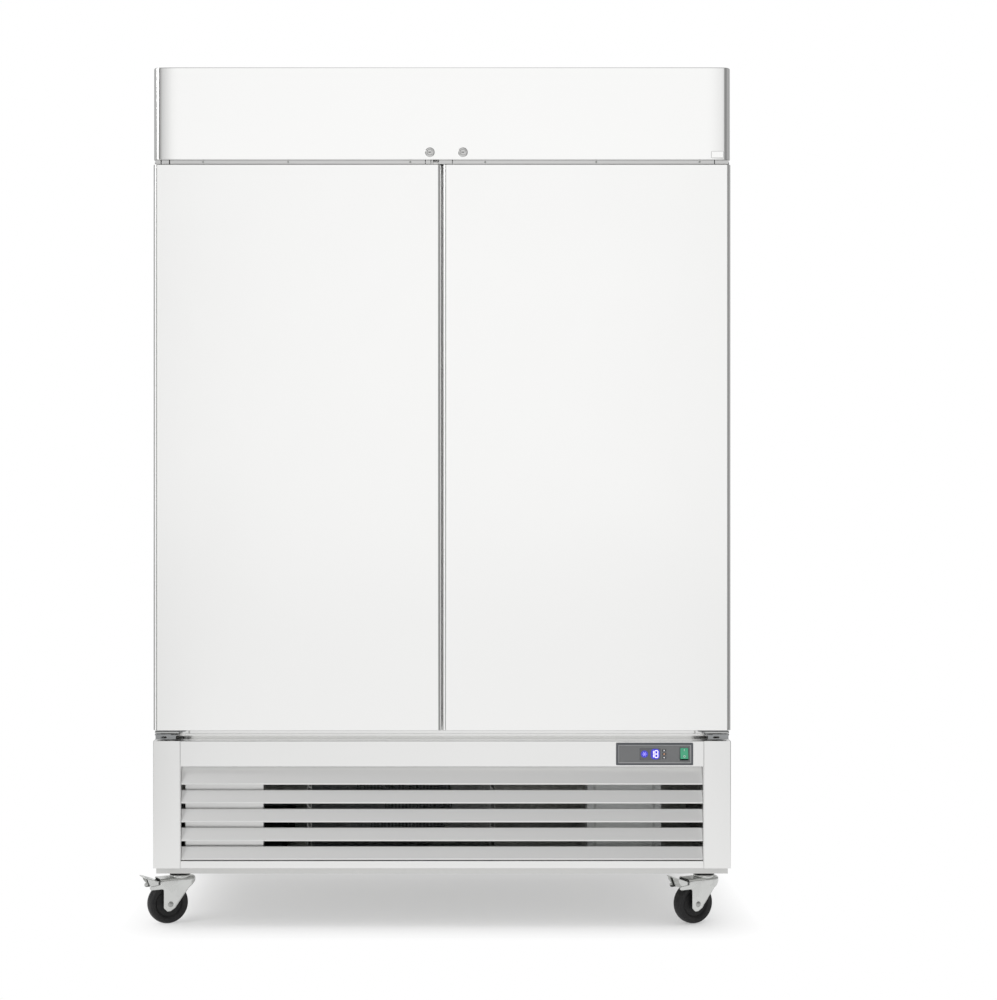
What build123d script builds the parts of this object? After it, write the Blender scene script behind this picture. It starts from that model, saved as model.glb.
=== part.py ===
from build123d import *
import math
import os

# Two-door upright refrigerator with its machinery below. Millimetres, +Z up, front towards -Y.
# The origin is on the floor, under the middle of the cabinet.

# Heights, from the floor up
caster_height = 133.0
tray_height = 22.0
lower_front_height = 304.0
lower_gap = 25.0
door_height = 1352.0
upper_gap = 11.0
header_height = 221.0

# Widths and depths
cabinet_width = 1380.0
body_depth = 745.0
gasket_gap = 15.0
door_thickness = 60.0
door_gap = 3.0
tray_setback = 50.0

# Sheet and walls
skin = 1.0
liner_sheet = 1.0
side_wall = 60.0
back_wall = 61.0
roof_wall = 71.0
floor_wall = 68.0
panel_return = 16.0
block_gap = 0.3
seat_gap = 0.3

# Door frame
frame_depth = 20.0
stile_width = 78.0
mullion_width = 70.0
mullion_depth = 70.0
opening_lift = 46.0
opening_drop = 46.0
frame_edge_bevel = 3.0

# Doors
door_edge_radius = 10.0
door_skin = 1.0
door_liner = 1.5
dyke_height = 10.0
dyke_taper = 6.0
gasket_inset = 14.0
gasket_width = 14.0
gasket_base = 3.0
gasket_bead = 6.0

# Door hinges
pivot_inset = 12.5
pivot_depth = 30.0
pin_diameter = 10.0
pin_clearance = 0.05
pin_reach = 24.0
bush_width = 18.0
bush_flange = 22.0
bush_flange_thickness = 2.0
closer_width = 20.0
closer_length = 58.0
closer_plate_length = 74.0
closer_plate_width = 34.0
closer_plate_thickness = 3.0
bracket_plate = 5.0
bracket_width = 58.0
bracket_leg = 4.0
lower_bracket_drop = 14.0
lower_bracket_leg_height = 26.0
upper_bracket_gap = 2.0
upper_bracket_leg_height = 46.0
boss_diameter = 19.0
boss_height = 9.0

# Header
header_radius = 18.0
header_sheet = 1.0
header_lip_gap = 15.0
header_top_overlap = 20.0

# Locks
lock_positions = {"left": -29.0, "right": 50.0}
lock_height = 18.0
lock_ring_diameter = 23.0
lock_ring_thickness = 2.5
lock_barrel_width = 16.0
lock_barrel_length = 22.0
lock_plug_diameter = 13.5
lock_plug_proud = 1.0
plug_clearance = 0.05
keyway_width = 1.6
keyway_height = 8.0
keyway_depth = 12.0
cam_length = 36.0
cam_width = 10.0
cam_thickness = 4.0
cam_slot_margin = 3.0

# Lower front
post_width = 65.0
post_return = 40.0
front_sheet = 1.2
grille_side_gap = 1.0
top_strip_height = 61.0
bottom_strip_height = 18.0
strip_return = 44.0
tray_overlap = 6.0
end_plate_depth = 40.0
slat_count = 5
slat_sheet = 1.2
slat_lip = 7.0
slat_depth = 20.0
slat_gap = 11.5
slat_end_gap = 0.5
slat_setback = 3.0

# Controller
bezel_width = 184.0
bezel_height = 53.5
bezel_side_gap = 24.5
bezel_thickness = 4.0
bezel_frame = 7.0
bezel_recess = 1.5
bezel_edge = 1.2
bezel_body_depth = 26.0
display_width = 50.0
display_height = 29.0
display_offset = -11.0
display_thickness = 1.5
key_width = 9.0
key_height = 5.5
key_pitch = 8.4
key_offset = 22.5
key_proud = 1.0
key_travel = 0.6
key_clearance = 0.25
rocker_width = 18.5
rocker_height = 28.0
rocker_offset = 70.5
rocker_proud = 3.0
rocker_angle = 9.0
rocker_depth = 11.0
rocker_rim = 5.0
rocker_clearance = 0.5

# Base tray and unit base
tray_sheet = 2.0
unit_base_width = 560.0
unit_base_depth = 560.0
unit_base_height = 15.0
unit_base_x = -90.0
unit_base_flange = 25.0

# Casters
caster_inset_x = 47.5
caster_inset_front = 126.0
caster_inset_rear = 61.0
wheel_diameter = 100.0
tread_width = 32.0
wheel_trail = 32.0
fork_sheet = 2.5
fork_inside = 38.0
fork_tip_radius = 17.0
fork_front = 14.0
fork_back = 56.0
fork_top = 110.0
fork_corner_z = 104.0
fork_knee_z = 86.0
fork_tip_flat = 16.0
fork_arm_reach = 84.0
fork_arm_top = 100.0
fork_arm_bottom = 88.0
fork_arm_taper = 3.0
axle_diameter = 10.0
axle_clearance = 0.05
axle_head_diameter = 16.0
axle_head_height = 5.0
plate_length = 92.0
plate_width = 70.0
plate_thickness = 2.5
plate_corner = 8.0
race_diameter = 52.0
front_caster_turn = 26.0
rear_caster_turn = 15.0

# Brake pedals
pedal_pivot_u = 54.0
pedal_pivot_z = 102.5
pedal_pin_diameter = 5.0
pedal_eye = 4.2
pedal_sheet = 2.5
pedal_arm_width = 32.0
pedal_foot_width = 44.0
pedal_corner = 11.0
pedal_foot_start = 62.0
pedal_reach = 100.0
pedal_tip_z = 119.0
pedal_root_z = 105.0
shoe_u = 66.0
shoe_length = 11.0
shoe_back = 80.0
shoe_height = 9.5
shoe_slope = 7.5

# Shelves
shelf_levels = (850.0, 1150.0, 1450.0)
shelf_thickness = 6.0
shelf_wire = 6.0
shelf_bars = 6
shelf_side_gap = 17.0
shelf_centre_gap = 12.0
shelf_front_gap = 10.0
shelf_rear_gap = 18.0
standard_width = 20.0
standard_depth = 6.0
standard_sheet = 1.5
standard_bottom = 600.0
standard_top = 1760.0
standard_inset = 40.0
clip_height = 18.0
clip_width = 14.0
clip_reach = 18.0

# Evaporator under the ceiling
evaporator_width = 900.0
evaporator_front = 250.0
evaporator_rear_gap = 34.0
evaporator_rear_wall = 60.0
evaporator_height = 178.0
evaporator_sheet = 1.5
evaporator_slope = 18.0
coil_width = 760.0
coil_depth = 150.0
coil_height = 110.0
coil_rear_gap = 40.0
coil_slots = 8
coil_slot_depth = 55.0
coil_slot_width = 40.0
fan_spacing = 380.0
small_fan_opening = 152.0
small_fan_corner = 44.0
small_fan_diameter = 138.0
small_hub_diameter = 44.0
small_hub_length = 22.0
small_motor_width = 60.0
small_motor_length = 48.0
fan_foot_width = 40.0
fan_foot_thickness = 6.0
small_blades = 5
blade_thickness = 2.0
blade_pitch = 32.0

# Condensing unit
condenser_width = 460.0
condenser_depth = 50.0
condenser_height = 280.0
condenser_x = -100.0
condenser_front_gap = 22.0
condenser_slots = 9
condenser_slot_depth = 19.0
condenser_slot_width = 25.0
condenser_plate = 2.0
condenser_rim = 4.0
hood_depth = 60.0
hood_motor_gap = 18.0
hood_sheet = 1.5
ring_opening = 250.0
big_fan_diameter = 236.0
big_hub_diameter = 60.0
big_hub_length = 26.0
big_motor_width = 84.0
big_motor_length = 70.0
big_blades = 5
motor_arm_width = 22.0
motor_arm_sheet = 3.0
compressor_diameter = 190.0
compressor_height = 200.0
compressor_cap = 110.0
compressor_cap_height = 16.0
compressor_foot = 240.0
compressor_foot_sheet = 4.0
grommet_diameter = 26.0
grommet_height = 18.0
grommet_spacing = 190.0
compressor_x = -60.0
compressor_y = 90.0
line_diameter = 9.5
line_rise = 18.0
box_width = 177.0
box_depth = 90.0
box_height = 245.0
box_x = 441.0
box_sheet = 1.5
box_panel_rise = 50.0
box_panel_depth = 8.0
box_panel_border = 15.0
box_lid_rise = 30.0
box_lid_depth = 16.0
box_lid_step = 2.0
drain_width = 240.0
drain_depth = 300.0
drain_height = 60.0
drain_sheet = 2.5
drain_corner = 12.0
drain_gap = 5.0
drain_y = 120.0
vent_slots = 6
vent_slot_height = 14.0
vent_columns = 2
vent_border = 60.0

# Places that follow from the sizes above
tray_bottom = caster_height
tray_top = tray_bottom + tray_height
lower_front_top = tray_top + lower_front_height
door_bottom = lower_front_top + lower_gap
door_top = door_bottom + door_height
header_bottom = door_top + upper_gap
header_top = header_bottom + header_height
body_top = header_top
body_bottom = lower_front_top + 3.0
half_width = cabinet_width / 2
total_depth = body_depth + gasket_gap + door_thickness
front_y = -total_depth / 2
door_back_y = front_y + door_thickness
body_front_y = door_back_y + gasket_gap
body_back_y = body_front_y + body_depth
foam_front_y = body_front_y + frame_depth
foam_back_y = body_back_y - 2 * skin
opening_bottom = door_bottom + opening_lift
opening_top = door_top - opening_drop
stile_inner_x = half_width - stile_width
liner_x = half_width - side_wall
liner_back_y = body_back_y - back_wall
liner_bottom = body_bottom + floor_wall
liner_top = body_top - roof_wall
pivot_x = half_width - pivot_inset
pivot_y = front_y + pivot_depth
tray_front_y = front_y + tray_setback
post_inner_x = half_width - post_width
grille_x = post_inner_x - grille_side_gap
bezel_centre_x = grille_x - bezel_side_gap - bezel_width / 2
bezel_z = lower_front_top - top_strip_height / 2
tray_floor_z = tray_bottom + tray_sheet
caster_x = half_width - caster_inset_x
caster_front_y = front_y + caster_inset_front
caster_rear_y = body_back_y - caster_inset_rear
unit_floor_z = tray_floor_z + unit_base_height
unit_base_left = unit_base_x - unit_base_width / 2
drain_x = unit_base_left - unit_base_flange - drain_gap - drain_width / 2


def block(x0: float, x1: float, y0: float, y1: float, z0: float, z1: float) -> Part:
    """Square block between two corners."""
    size = (abs(x1 - x0), abs(y1 - y0), abs(z1 - z0))
    return Pos((x0 + x1) / 2, (y0 + y1) / 2, (z0 + z1) / 2) * Box(*size)


def outline(points: list) -> Face:
    """Flat face inside a closed run of straight edges."""
    return make_face(Polyline(*points, close=True))


def sheet_outline(path: list, thickness: float) -> Face:
    """Section of a folded sheet: a path, and the same path moved to its left by the thickness."""
    moved = []
    for i, (x, y) in enumerate(path):
        before = path[max(i - 1, 0)]
        after = path[min(i + 1, len(path) - 1)]
        run_in = math.atan2(y - before[1], x - before[0]) if i else None
        run_out = math.atan2(after[1] - y, after[0] - x) if i < len(path) - 1 else None
        run_in = run_out if run_in is None else run_in
        run_out = run_in if run_out is None else run_out
        half_turn = (run_out - run_in) / 2
        reach = thickness / math.cos(half_turn)
        normal = run_in + half_turn + math.pi / 2
        moved.append((x + reach * math.cos(normal), y + reach * math.sin(normal)))
    return outline(path + moved[::-1])


def along_x(face: Face, x0: float, x1: float) -> Part:
    """Run a section drawn in (y, z) from x0 to x1."""
    return extrude(Plane(origin=(x0, 0, 0), x_dir=(0, 1, 0), z_dir=(1, 0, 0)) * face, x1 - x0)


def along_y(face: Face, y0: float, y1: float) -> Part:
    """Run a section drawn in (x, z) from y0 to y1."""
    return extrude(Plane(origin=(0, y1, 0), x_dir=(1, 0, 0), z_dir=(0, -1, 0)) * face, y1 - y0)


def along_z(face: Face, z0: float, z1: float) -> Part:
    """Run a section drawn in (x, y) from z0 to z1."""
    return extrude(Pos(0, 0, z0) * face, z1 - z0)


def rod_y(x: float, z: float, diameter: float, y0: float, y1: float) -> Part:
    """Round rod along Y."""
    return along_y(Pos(x, z) * Circle(diameter / 2), y0, y1)


def rod_z(x: float, y: float, diameter: float, z0: float, z1: float) -> Part:
    """Round rod along Z."""
    return along_z(Pos(x, y) * Circle(diameter / 2), z0, z1)


def post_z(x: float, y: float, width: float, z0: float, z1: float) -> Part:
    """Square post along Z."""
    half = width / 2
    return block(x - half, x + half, y - half, y + half, z0, z1)


def post_y(x: float, z: float, width: float, y0: float, y1: float) -> Part:
    """Square post along Y."""
    half = width / 2
    return block(x - half, x + half, y0, y1, z - half, z + half)


def pan(x0: float, x1: float, z0: float, z1: float, depth: float, radius: float, sheet: float) -> Part:
    """Folded steel pan, open behind, its front at front_y and its upright edges rounded."""

    def footprint(inset: float) -> Face:
        width = x1 - x0 - 2 * inset
        section = Rectangle(width, depth - inset)
        corners = section.vertices().sort_by(Axis.Y)[:2]
        section = fillet(corners, radius - inset)
        return Pos((x0 + x1) / 2, front_y + inset + (depth - inset) / 2) * section

    return along_z(footprint(0), z0, z1) - along_z(footprint(sheet), z0 + sheet, z1 - sheet)


def both_sides(part: Part) -> list:
    """A piece and its mirror image across the middle of the cabinet."""
    return [part, mirror(part, about=Plane.YZ)]


def write(node: str, solids: list) -> None:
    """Write one node as a group of separate solids."""
    loose = [s for item in solids for s in item.solids()]
    export_step(loose[0] if len(loose) == 1 else Compound(children=loose), f"parts/{node}.step")


# Cabinet body


def side_panels() -> list:
    """Outer side skins, folded in behind the back corners and standing on the base tray."""
    path = [
        (half_width, body_front_y),
        (half_width, body_back_y - skin),
        (half_width - panel_return, body_back_y - skin),
    ]
    return both_sides(along_z(sheet_outline(path, skin), tray_top, body_top - skin))


def roof_panel() -> Part:
    """Top skin behind the header's flange, with a fold down that the back panel is fixed to."""
    low = body_top - skin
    y0 = body_front_y + header_top_overlap + seat_gap
    top = block(-half_width, half_width, y0, body_back_y, low, body_top)
    fold_x = half_width - panel_return - seat_gap
    fold_y = body_back_y - skin
    return top + block(-fold_x, fold_x, fold_y - skin, fold_y, low - panel_return, low)


def back_panel() -> Part:
    """Rear skin of the insulated body, fixed over the folds of the side and roof panels."""
    x = half_width
    return block(-x, x, body_back_y - skin, body_back_y, body_bottom, body_top - skin)


def underside_panel() -> Part:
    """Galvanised skin under the insulated floor."""
    x = half_width - skin
    return block(-x, x, body_front_y + frame_depth, foam_back_y, body_bottom, body_bottom + skin)


def wall_insulation() -> list:
    """Foam of the five walls, one block for each wall."""
    x_out = half_width - skin
    x_in = liner_x + liner_sheet
    x_gap = x_in - block_gap
    z_low, z_high = body_bottom + skin, body_top - skin
    z_floor, z_roof = liner_bottom - liner_sheet, liner_top + liner_sheet
    y_back = liner_back_y + liner_sheet
    walls = both_sides(block(x_in, x_out, foam_front_y, foam_back_y, z_low, z_high))
    walls.append(block(-x_gap, x_gap, foam_front_y, foam_back_y, z_roof, z_high))
    walls.append(block(-x_gap, x_gap, foam_front_y, foam_back_y, z_low, z_floor))
    back = block(-x_gap, x_gap, y_back, foam_back_y, z_floor + block_gap, z_roof - block_gap)
    return walls + [back]


def inner_liner() -> Part:
    """Aluminium liner of the compartment, open at the front, with square corners."""
    x, y, s = liner_x, liner_back_y, liner_sheet
    outside = block(-x - s, x + s, foam_front_y, y + s, liner_bottom - s, liner_top + s)
    return outside - block(-x, x, foam_front_y - s, y, liner_bottom, liner_top)


def door_frame() -> list:
    """Bars round the two door openings, the deep centre post among them, bevelled towards the openings."""
    x_out = half_width - skin
    y0, y1 = body_front_y, foam_front_y
    rail_x = stile_inner_x - block_gap
    stile = block(stile_inner_x, x_out, y0, y1, body_bottom, body_top - skin)
    head = block(-rail_x, rail_x, y0, y1, opening_top, body_top - skin)
    sill = block(-rail_x, rail_x, y0, y1, body_bottom, opening_bottom)
    half = mullion_width / 2
    post = block(-half, half, y0, y0 + mullion_depth, opening_bottom + block_gap, opening_top - block_gap)

    def front_edges(bar: Part, along: Axis) -> ShapeList:
        return bar.edges().filter_by(along).group_by(Axis.Y)[0]

    stile = chamfer(front_edges(stile, Axis.Z).sort_by(Axis.X)[:1], frame_edge_bevel)
    head = chamfer(front_edges(head, Axis.X).sort_by(Axis.Z)[:1], frame_edge_bevel)
    sill = chamfer(front_edges(sill, Axis.X).sort_by(Axis.Z)[-1:], frame_edge_bevel)
    post = chamfer(front_edges(post, Axis.Z), frame_edge_bevel)
    return both_sides(stile) + [head, sill, post]


def header_panel() -> Part:
    """Header fascia: rounded ends, a lip below and a flange that lies on the door frame."""
    depth = body_front_y - front_y
    shell = pan(-half_width, half_width, header_bottom, header_top, depth, header_radius, header_sheet)
    lip_y = body_front_y - header_lip_gap
    inside = half_width - header_sheet
    shell -= block(-inside, inside, lip_y, body_front_y, header_bottom, header_bottom + header_sheet)
    roof_y = body_front_y + header_top_overlap
    flange_z = header_top - header_sheet
    shell += block(-half_width, half_width, body_front_y, roof_y, flange_z, header_top)
    z = header_bottom + lock_height
    for side, x in lock_positions.items():
        half = lock_barrel_width / 2
        shell -= block(x - half, x + half, front_y - 1, front_y + 2 * header_sheet, z - half, z + half)
        x0, x1 = cam_sweep(side, cam_length + cam_slot_margin)
        y0, y1 = cam_depths(cam_slot_margin)
        shell -= block(x0, x1, y0, y1, header_bottom - 1, header_bottom + 2 * header_sheet)
    return shell


# Locks


def cam_sweep(side: str, reach: float) -> tuple:
    """Left and right ends of the room that a lock's cam sweeps, from its rest towards its door."""
    x = lock_positions[side]
    half = cam_width / 2 + cam_slot_margin
    return (x - reach, x + half) if side == "left" else (x - half, x + reach)


def cam_depths(margin: float) -> tuple:
    """Front and back of a lock's cam, with a margin."""
    y = front_y + lock_barrel_length
    return y - margin, y + cam_thickness + margin


def lock_housings() -> list:
    """Round ring and square barrel of both locks, bored for the plug."""
    z = header_bottom + lock_height
    half = lock_barrel_width / 2
    bore = lock_plug_diameter + 2 * plug_clearance
    housings = []
    for x in lock_positions.values():
        ring = rod_y(x, z, lock_ring_diameter, front_y - lock_ring_thickness, front_y)
        barrel = block(x - half, x + half, front_y, front_y + lock_barrel_length, z - half, z + half)
        back = front_y + lock_barrel_length + 1
        housings.append(ring + barrel - rod_y(x, z, bore, front_y - 10, back))
    return housings


def lock_plug(side: str) -> Part:
    """Turning plug with its keyway and, behind the barrel, the cam that drops into the door."""
    x, z = lock_positions[side], header_bottom + lock_height
    y0, y1 = cam_depths(0)
    face_y = front_y - lock_ring_thickness - lock_plug_proud
    plug = rod_y(x, z, lock_plug_diameter, face_y, y0 + seat_gap)
    half = keyway_width / 2
    high = keyway_height / 2
    plug -= block(x - half, x + half, face_y, face_y + keyway_depth, z - high, z + high)
    away = -1 if side == "left" else 1
    root, tip = sorted((x - away * cam_width / 2, x + away * cam_length))
    cam = block(root, tip, y0 + seat_gap, y1, z - cam_width / 2, z + cam_width / 2)
    tip_edges = cam.edges().filter_by(Axis.Y).sort_by(Axis.X)
    cam = chamfer(tip_edges[:2] if side == "left" else tip_edges[-2:], cam_width / 4)
    return plug + cam


# Doors


def door_limits(side: str) -> tuple:
    """Outer and free edges of a door, as lowest and highest x."""
    low, high = door_gap / 2, half_width
    return (-high, -low) if side == "left" else (low, high)


def pivot(side: str) -> float:
    """X of a door's hinge axis."""
    return -pivot_x if side == "left" else pivot_x


def closer_plate_limits(side: str) -> tuple:
    """Lowest and highest x of the plate under a door's hinge corner."""
    outer = half_width - 2.0
    inner = outer - closer_plate_length
    return (-outer, -inner) if side == "left" else (inner, outer)


def door_outer_skin(side: str) -> Part:
    """Steel pan of a door, with round upright edges, holes for the hinges and a slot for the lock."""
    x0, x1 = door_limits(side)
    depth = door_thickness - door_liner
    shell = pan(x0, x1, door_bottom, door_top, depth, door_edge_radius, door_skin)
    x = pivot(side)
    shell -= post_z(x, pivot_y, bush_width, door_top - 2, door_top + 2)
    shell -= post_z(x, pivot_y, closer_width, door_bottom - 2, door_bottom + 2)
    return shell - lock_slot(side)


def lock_slot(side: str) -> Part:
    """Room in the top of a door for its lock's cam."""
    z_axis = header_bottom + lock_height
    drop = z_axis - door_top
    reach = math.sqrt((cam_length + cam_slot_margin) ** 2 - drop**2)
    x0, x1 = cam_sweep(side, reach)
    y0, y1 = cam_depths(cam_slot_margin)
    return block(x0, x1, y0, y1, z_axis - cam_length - cam_slot_margin, door_top + 1)


def door_core(side: str) -> Part:
    """Foam between a door's skin and liner, with room for the hinge barrels and the cam."""
    x0, x1 = door_limits(side)
    y0, y1 = front_y + door_skin, front_y + door_thickness - door_liner
    z0, z1 = door_bottom + door_skin, door_top - door_skin
    body = block(x0 + door_skin, x1 - door_skin, y0, y1, z0, z1)
    front_edges = body.edges().filter_by(Axis.Z).sort_by(Axis.Y)[:2]
    body = chamfer(front_edges, door_edge_radius - door_skin)
    x = pivot(side)
    body -= post_z(x, pivot_y, bush_width, door_top - pin_reach - 2, door_top)
    body -= post_z(x, pivot_y, closer_width, door_bottom, door_bottom + closer_length)
    return body - lock_slot(side)


def door_back(side: str) -> Part:
    """Door liner: a flat border for the gasket round a raised, tapered panel."""
    x0, x1 = door_limits(side)
    y1 = front_y + door_thickness
    border = block(x0, x1, y1 - door_liner, y1, door_bottom, door_top)
    inset = gasket_inset + gasket_width + 8.0
    width, height = x1 - x0 - 2 * inset, door_height - 2 * inset
    centre = ((x0 + x1) / 2, (door_bottom + door_top) / 2)
    base = Plane(origin=(centre[0], y1, centre[1]), x_dir=(1, 0, 0), z_dir=(0, 1, 0))
    top = base.offset(dyke_height)
    crown = Rectangle(width - 2 * dyke_taper, height - 2 * dyke_taper)
    raised = loft([base * Rectangle(width, height), top * crown])
    return border + raised


def gasket_section() -> Face:
    """Section of the magnetic gasket: base, waist and magnet bead. X is across, Y is out from the door."""
    half = gasket_width / 2
    depth = gasket_gap - seat_gap
    waist = half - 3.0
    return outline(
        [
            (-half, 0),
            (half, 0),
            (half, gasket_base),
            (waist, gasket_base + 1.0),
            (waist, depth - gasket_bead - 1.0),
            (half, depth - gasket_bead),
            (half, depth),
            (-half, depth),
            (-half, depth - gasket_bead),
            (-waist, depth - gasket_bead - 1.0),
            (-waist, gasket_base + 1.0),
            (-half, gasket_base),
        ]
    )


def door_gasket(side: str) -> Part:
    """Magnetic gasket: one section swept round the door's back with mitred corners."""
    x0, x1 = door_limits(side)
    y = front_y + door_thickness
    inset = gasket_inset + gasket_width / 2
    left, right = x0 + inset, x1 - inset
    low, high = door_bottom + inset, door_top - inset
    middle = ((left + right) / 2, y, low)
    corners = [(right, y, low), (right, y, high), (left, y, high), (left, y, low)]
    start = Plane(origin=middle, x_dir=(0, 0, -1), z_dir=(1, 0, 0))
    ring = Polyline(middle, *corners, middle)
    return sweep(start * gasket_section(), path=ring, transition=Transition.RIGHT)


def door_bushes(side: str) -> list:
    """Top bush and bottom closer with its plate, both bored for the hinge pins."""
    x = pivot(side)
    bore = pin_diameter + 2 * pin_clearance
    top = post_z(x, pivot_y, bush_width, door_top - pin_reach, door_top)
    top += post_z(x, pivot_y, bush_flange, door_top, door_top + bush_flange_thickness)
    top -= rod_z(x, pivot_y, bore, door_top - pin_reach - 1, door_top + 10)
    x0, x1 = closer_plate_limits(side)
    half = closer_plate_width / 2
    low = door_bottom - closer_plate_thickness
    plate = block(x0, x1, max(pivot_y - half, front_y + 2.0), pivot_y + half, low, door_bottom)
    seat_z = door_bottom - lower_bracket_drop + bracket_plate + seat_gap
    plate += post_z(x, pivot_y, closer_width, seat_z, door_bottom + closer_length)
    return [top, plate - rod_z(x, pivot_y, bore, seat_z - 1, door_bottom + pin_reach + 1)]


def hinge_bracket(plate_z: float, leg_z0: float, leg_z1: float) -> Part:
    """Right-hand hinge bracket: a plate over the pivot and a leg screwed to the stile."""
    x1 = half_width - 1.0
    x0 = x1 - bracket_width
    reach = pivot_y - boss_diameter / 2 - 1.0
    corner = bracket_width / 3
    plate = outline(
        [(x0, body_front_y), (x0, reach + corner), (x0 + corner, reach), (x1, reach), (x1, body_front_y)]
    )
    leg = block(x0, x1, body_front_y - bracket_leg, body_front_y, leg_z0, leg_z1)
    return along_z(plate, plate_z, plate_z + bracket_plate) + leg


def top_hinge_brackets() -> list:
    """Brackets between the header and the doors, with pins that point down."""
    plate_z = header_bottom - upper_bracket_gap - bracket_plate
    bracket = hinge_bracket(plate_z, plate_z, plate_z + upper_bracket_leg_height)
    pin = rod_z(pivot_x, pivot_y, pin_diameter, door_top - pin_reach + 2, plate_z)
    return both_sides(bracket + pin)


def bottom_hinge_brackets() -> list:
    """Brackets under the doors, with a boss below and a pin that points up."""
    plate_z = door_bottom - lower_bracket_drop
    bracket = hinge_bracket(plate_z, plate_z, plate_z + lower_bracket_leg_height)
    boss = rod_z(pivot_x, pivot_y, boss_diameter, plate_z - boss_height, plate_z)
    pin = rod_z(pivot_x, pivot_y, pin_diameter, plate_z + bracket_plate, door_bottom + pin_reach)
    return both_sides(bracket + boss + pin)


# Lower front


def lower_posts() -> list:
    """Folded corner posts on both sides of the grille."""
    path = [
        (post_inner_x, front_y + post_return),
        (post_inner_x, front_y),
        (half_width, front_y),
        (half_width, body_front_y),
    ]
    return both_sides(along_z(sheet_outline(path, front_sheet), tray_top, lower_front_top))


def grille_frame() -> Part:
    """Blank top strip, bottom strip and the end plates that carry the slats."""
    top_z = lower_front_top
    strip_z = top_z - top_strip_height
    back_y = front_y + strip_return
    top_path = [(back_y, top_z), (front_y, top_z), (front_y, strip_z), (front_y + 12, strip_z)]
    frame = along_x(sheet_outline(top_path, front_sheet), -grille_x, grille_x)
    low_z = tray_top
    lip_z = low_z + bottom_strip_height
    rest_y = tray_front_y + tray_overlap
    low_path = [(front_y + 12, lip_z), (front_y, lip_z), (front_y, low_z), (rest_y, low_z)]
    frame += along_x(sheet_outline(low_path, front_sheet), -grille_x, grille_x)
    y0 = front_y + front_sheet
    plate = block(grille_x - front_sheet, grille_x, y0, front_y + end_plate_depth, low_z, top_z)
    for side in both_sides(plate):
        frame += side
    hole = block(
        bezel_centre_x - bezel_width / 2 + bezel_frame,
        bezel_centre_x + bezel_width / 2 - bezel_frame,
        front_y - 1,
        front_y + 2 * front_sheet,
        bezel_z - bezel_height / 2 + bezel_frame,
        bezel_z + bezel_height / 2 - bezel_frame,
    )
    return frame - hole


def louvre_slats() -> list:
    """Sloping slats, each with an upright front lip and a hem at its back edge."""
    band_low = tray_top + bottom_strip_height
    band_high = lower_front_top - top_strip_height
    pitch = (band_high - band_low) / slat_count
    y0 = front_y + slat_setback
    rise = pitch - slat_lip - slat_gap
    slats = []
    for i in range(slat_count):
        z = band_low + i * pitch + 1.0
        path = [
            (y0 + 6, z + 2),
            (y0, z),
            (y0, z + slat_lip),
            (y0 + slat_depth, z + slat_lip + rise),
            (y0 + slat_depth + 6, z + slat_lip + rise),
        ]
        x = grille_x - front_sheet - slat_end_gap
        slats.append(along_x(sheet_outline(path, -slat_sheet), -x, x))
    return slats


# Controller


def controller_bezel() -> Part:
    """Moulded bezel with a raised rim, a body behind it and seats for display, keys and rocker."""
    x, z = bezel_centre_x, bezel_z
    y0 = front_y - bezel_thickness
    half_w, half_h = bezel_width / 2, bezel_height / 2
    bezel = block(x - half_w, x + half_w, y0, front_y, z - half_h, z + half_h)
    bezel = chamfer(bezel.faces().sort_by(Axis.Y)[0].edges(), bezel_edge)
    inner_w, inner_h = bezel_width - 2 * bezel_frame, bezel_height - 2 * bezel_frame
    recess = Pos(x, z) * Rectangle(inner_w + 4, inner_h + 4)
    bezel -= along_y(recess, y0, y0 + bezel_recess)
    w, h = inner_w / 2, inner_h / 2
    bezel += block(x - w, x + w, front_y, front_y + bezel_body_depth, z - h, z + h)
    y_face = y0 + bezel_recess
    dx = x + display_offset
    dw, dh = display_width / 2, display_height / 2
    bezel -= block(dx - dw, dx + dw, y_face, y_face + display_thickness, z - dh, z + dh)
    for kz in key_heights():
        w, h = key_width / 2 + key_clearance, key_height / 2 + key_clearance
        kx = x + key_offset
        bezel -= block(kx - w, kx + w, y_face, y_face + 6, kz - h, kz + h)
    rx = x + rocker_offset
    w, h = rocker_width / 2 + rocker_clearance, rocker_height / 2 + rocker_clearance
    return bezel - block(rx - w, rx + w, y_face, y_face + rocker_depth, z - h, z + h)


def key_heights() -> list:
    """Heights of the three keys, lowest first."""
    return [bezel_z + i * key_pitch for i in (-1, 0, 1)]


def controller_display() -> Part:
    """Display window, set flush in the bezel."""
    y = front_y - bezel_thickness + bezel_recess
    x = bezel_centre_x + display_offset
    w, h = display_width / 2 - 0.1, display_height / 2 - 0.1
    window = block(x - w, x + w, y - 0.5, y + display_thickness, bezel_z - h, bezel_z + h)
    return chamfer(window.faces().sort_by(Axis.Y)[0].edges(), 0.4)


def controller_key(z: float) -> Part:
    """One key, standing a little proud of the bezel's face."""
    y_face = front_y - bezel_thickness + bezel_recess
    x = bezel_centre_x + key_offset
    w, h = key_width / 2, key_height / 2
    key = block(x - w, x + w, y_face - key_proud, y_face + 6 - key_travel - 0.1, z - h, z + h)
    return chamfer(key.faces().sort_by(Axis.Y)[0].edges(), 0.5)


def rocker_pivot_y() -> float:
    """Depth of the rocker's pivot, on the ridge at the bottom of its pocket."""
    return front_y - bezel_thickness + bezel_recess + rocker_depth - seat_gap


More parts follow.
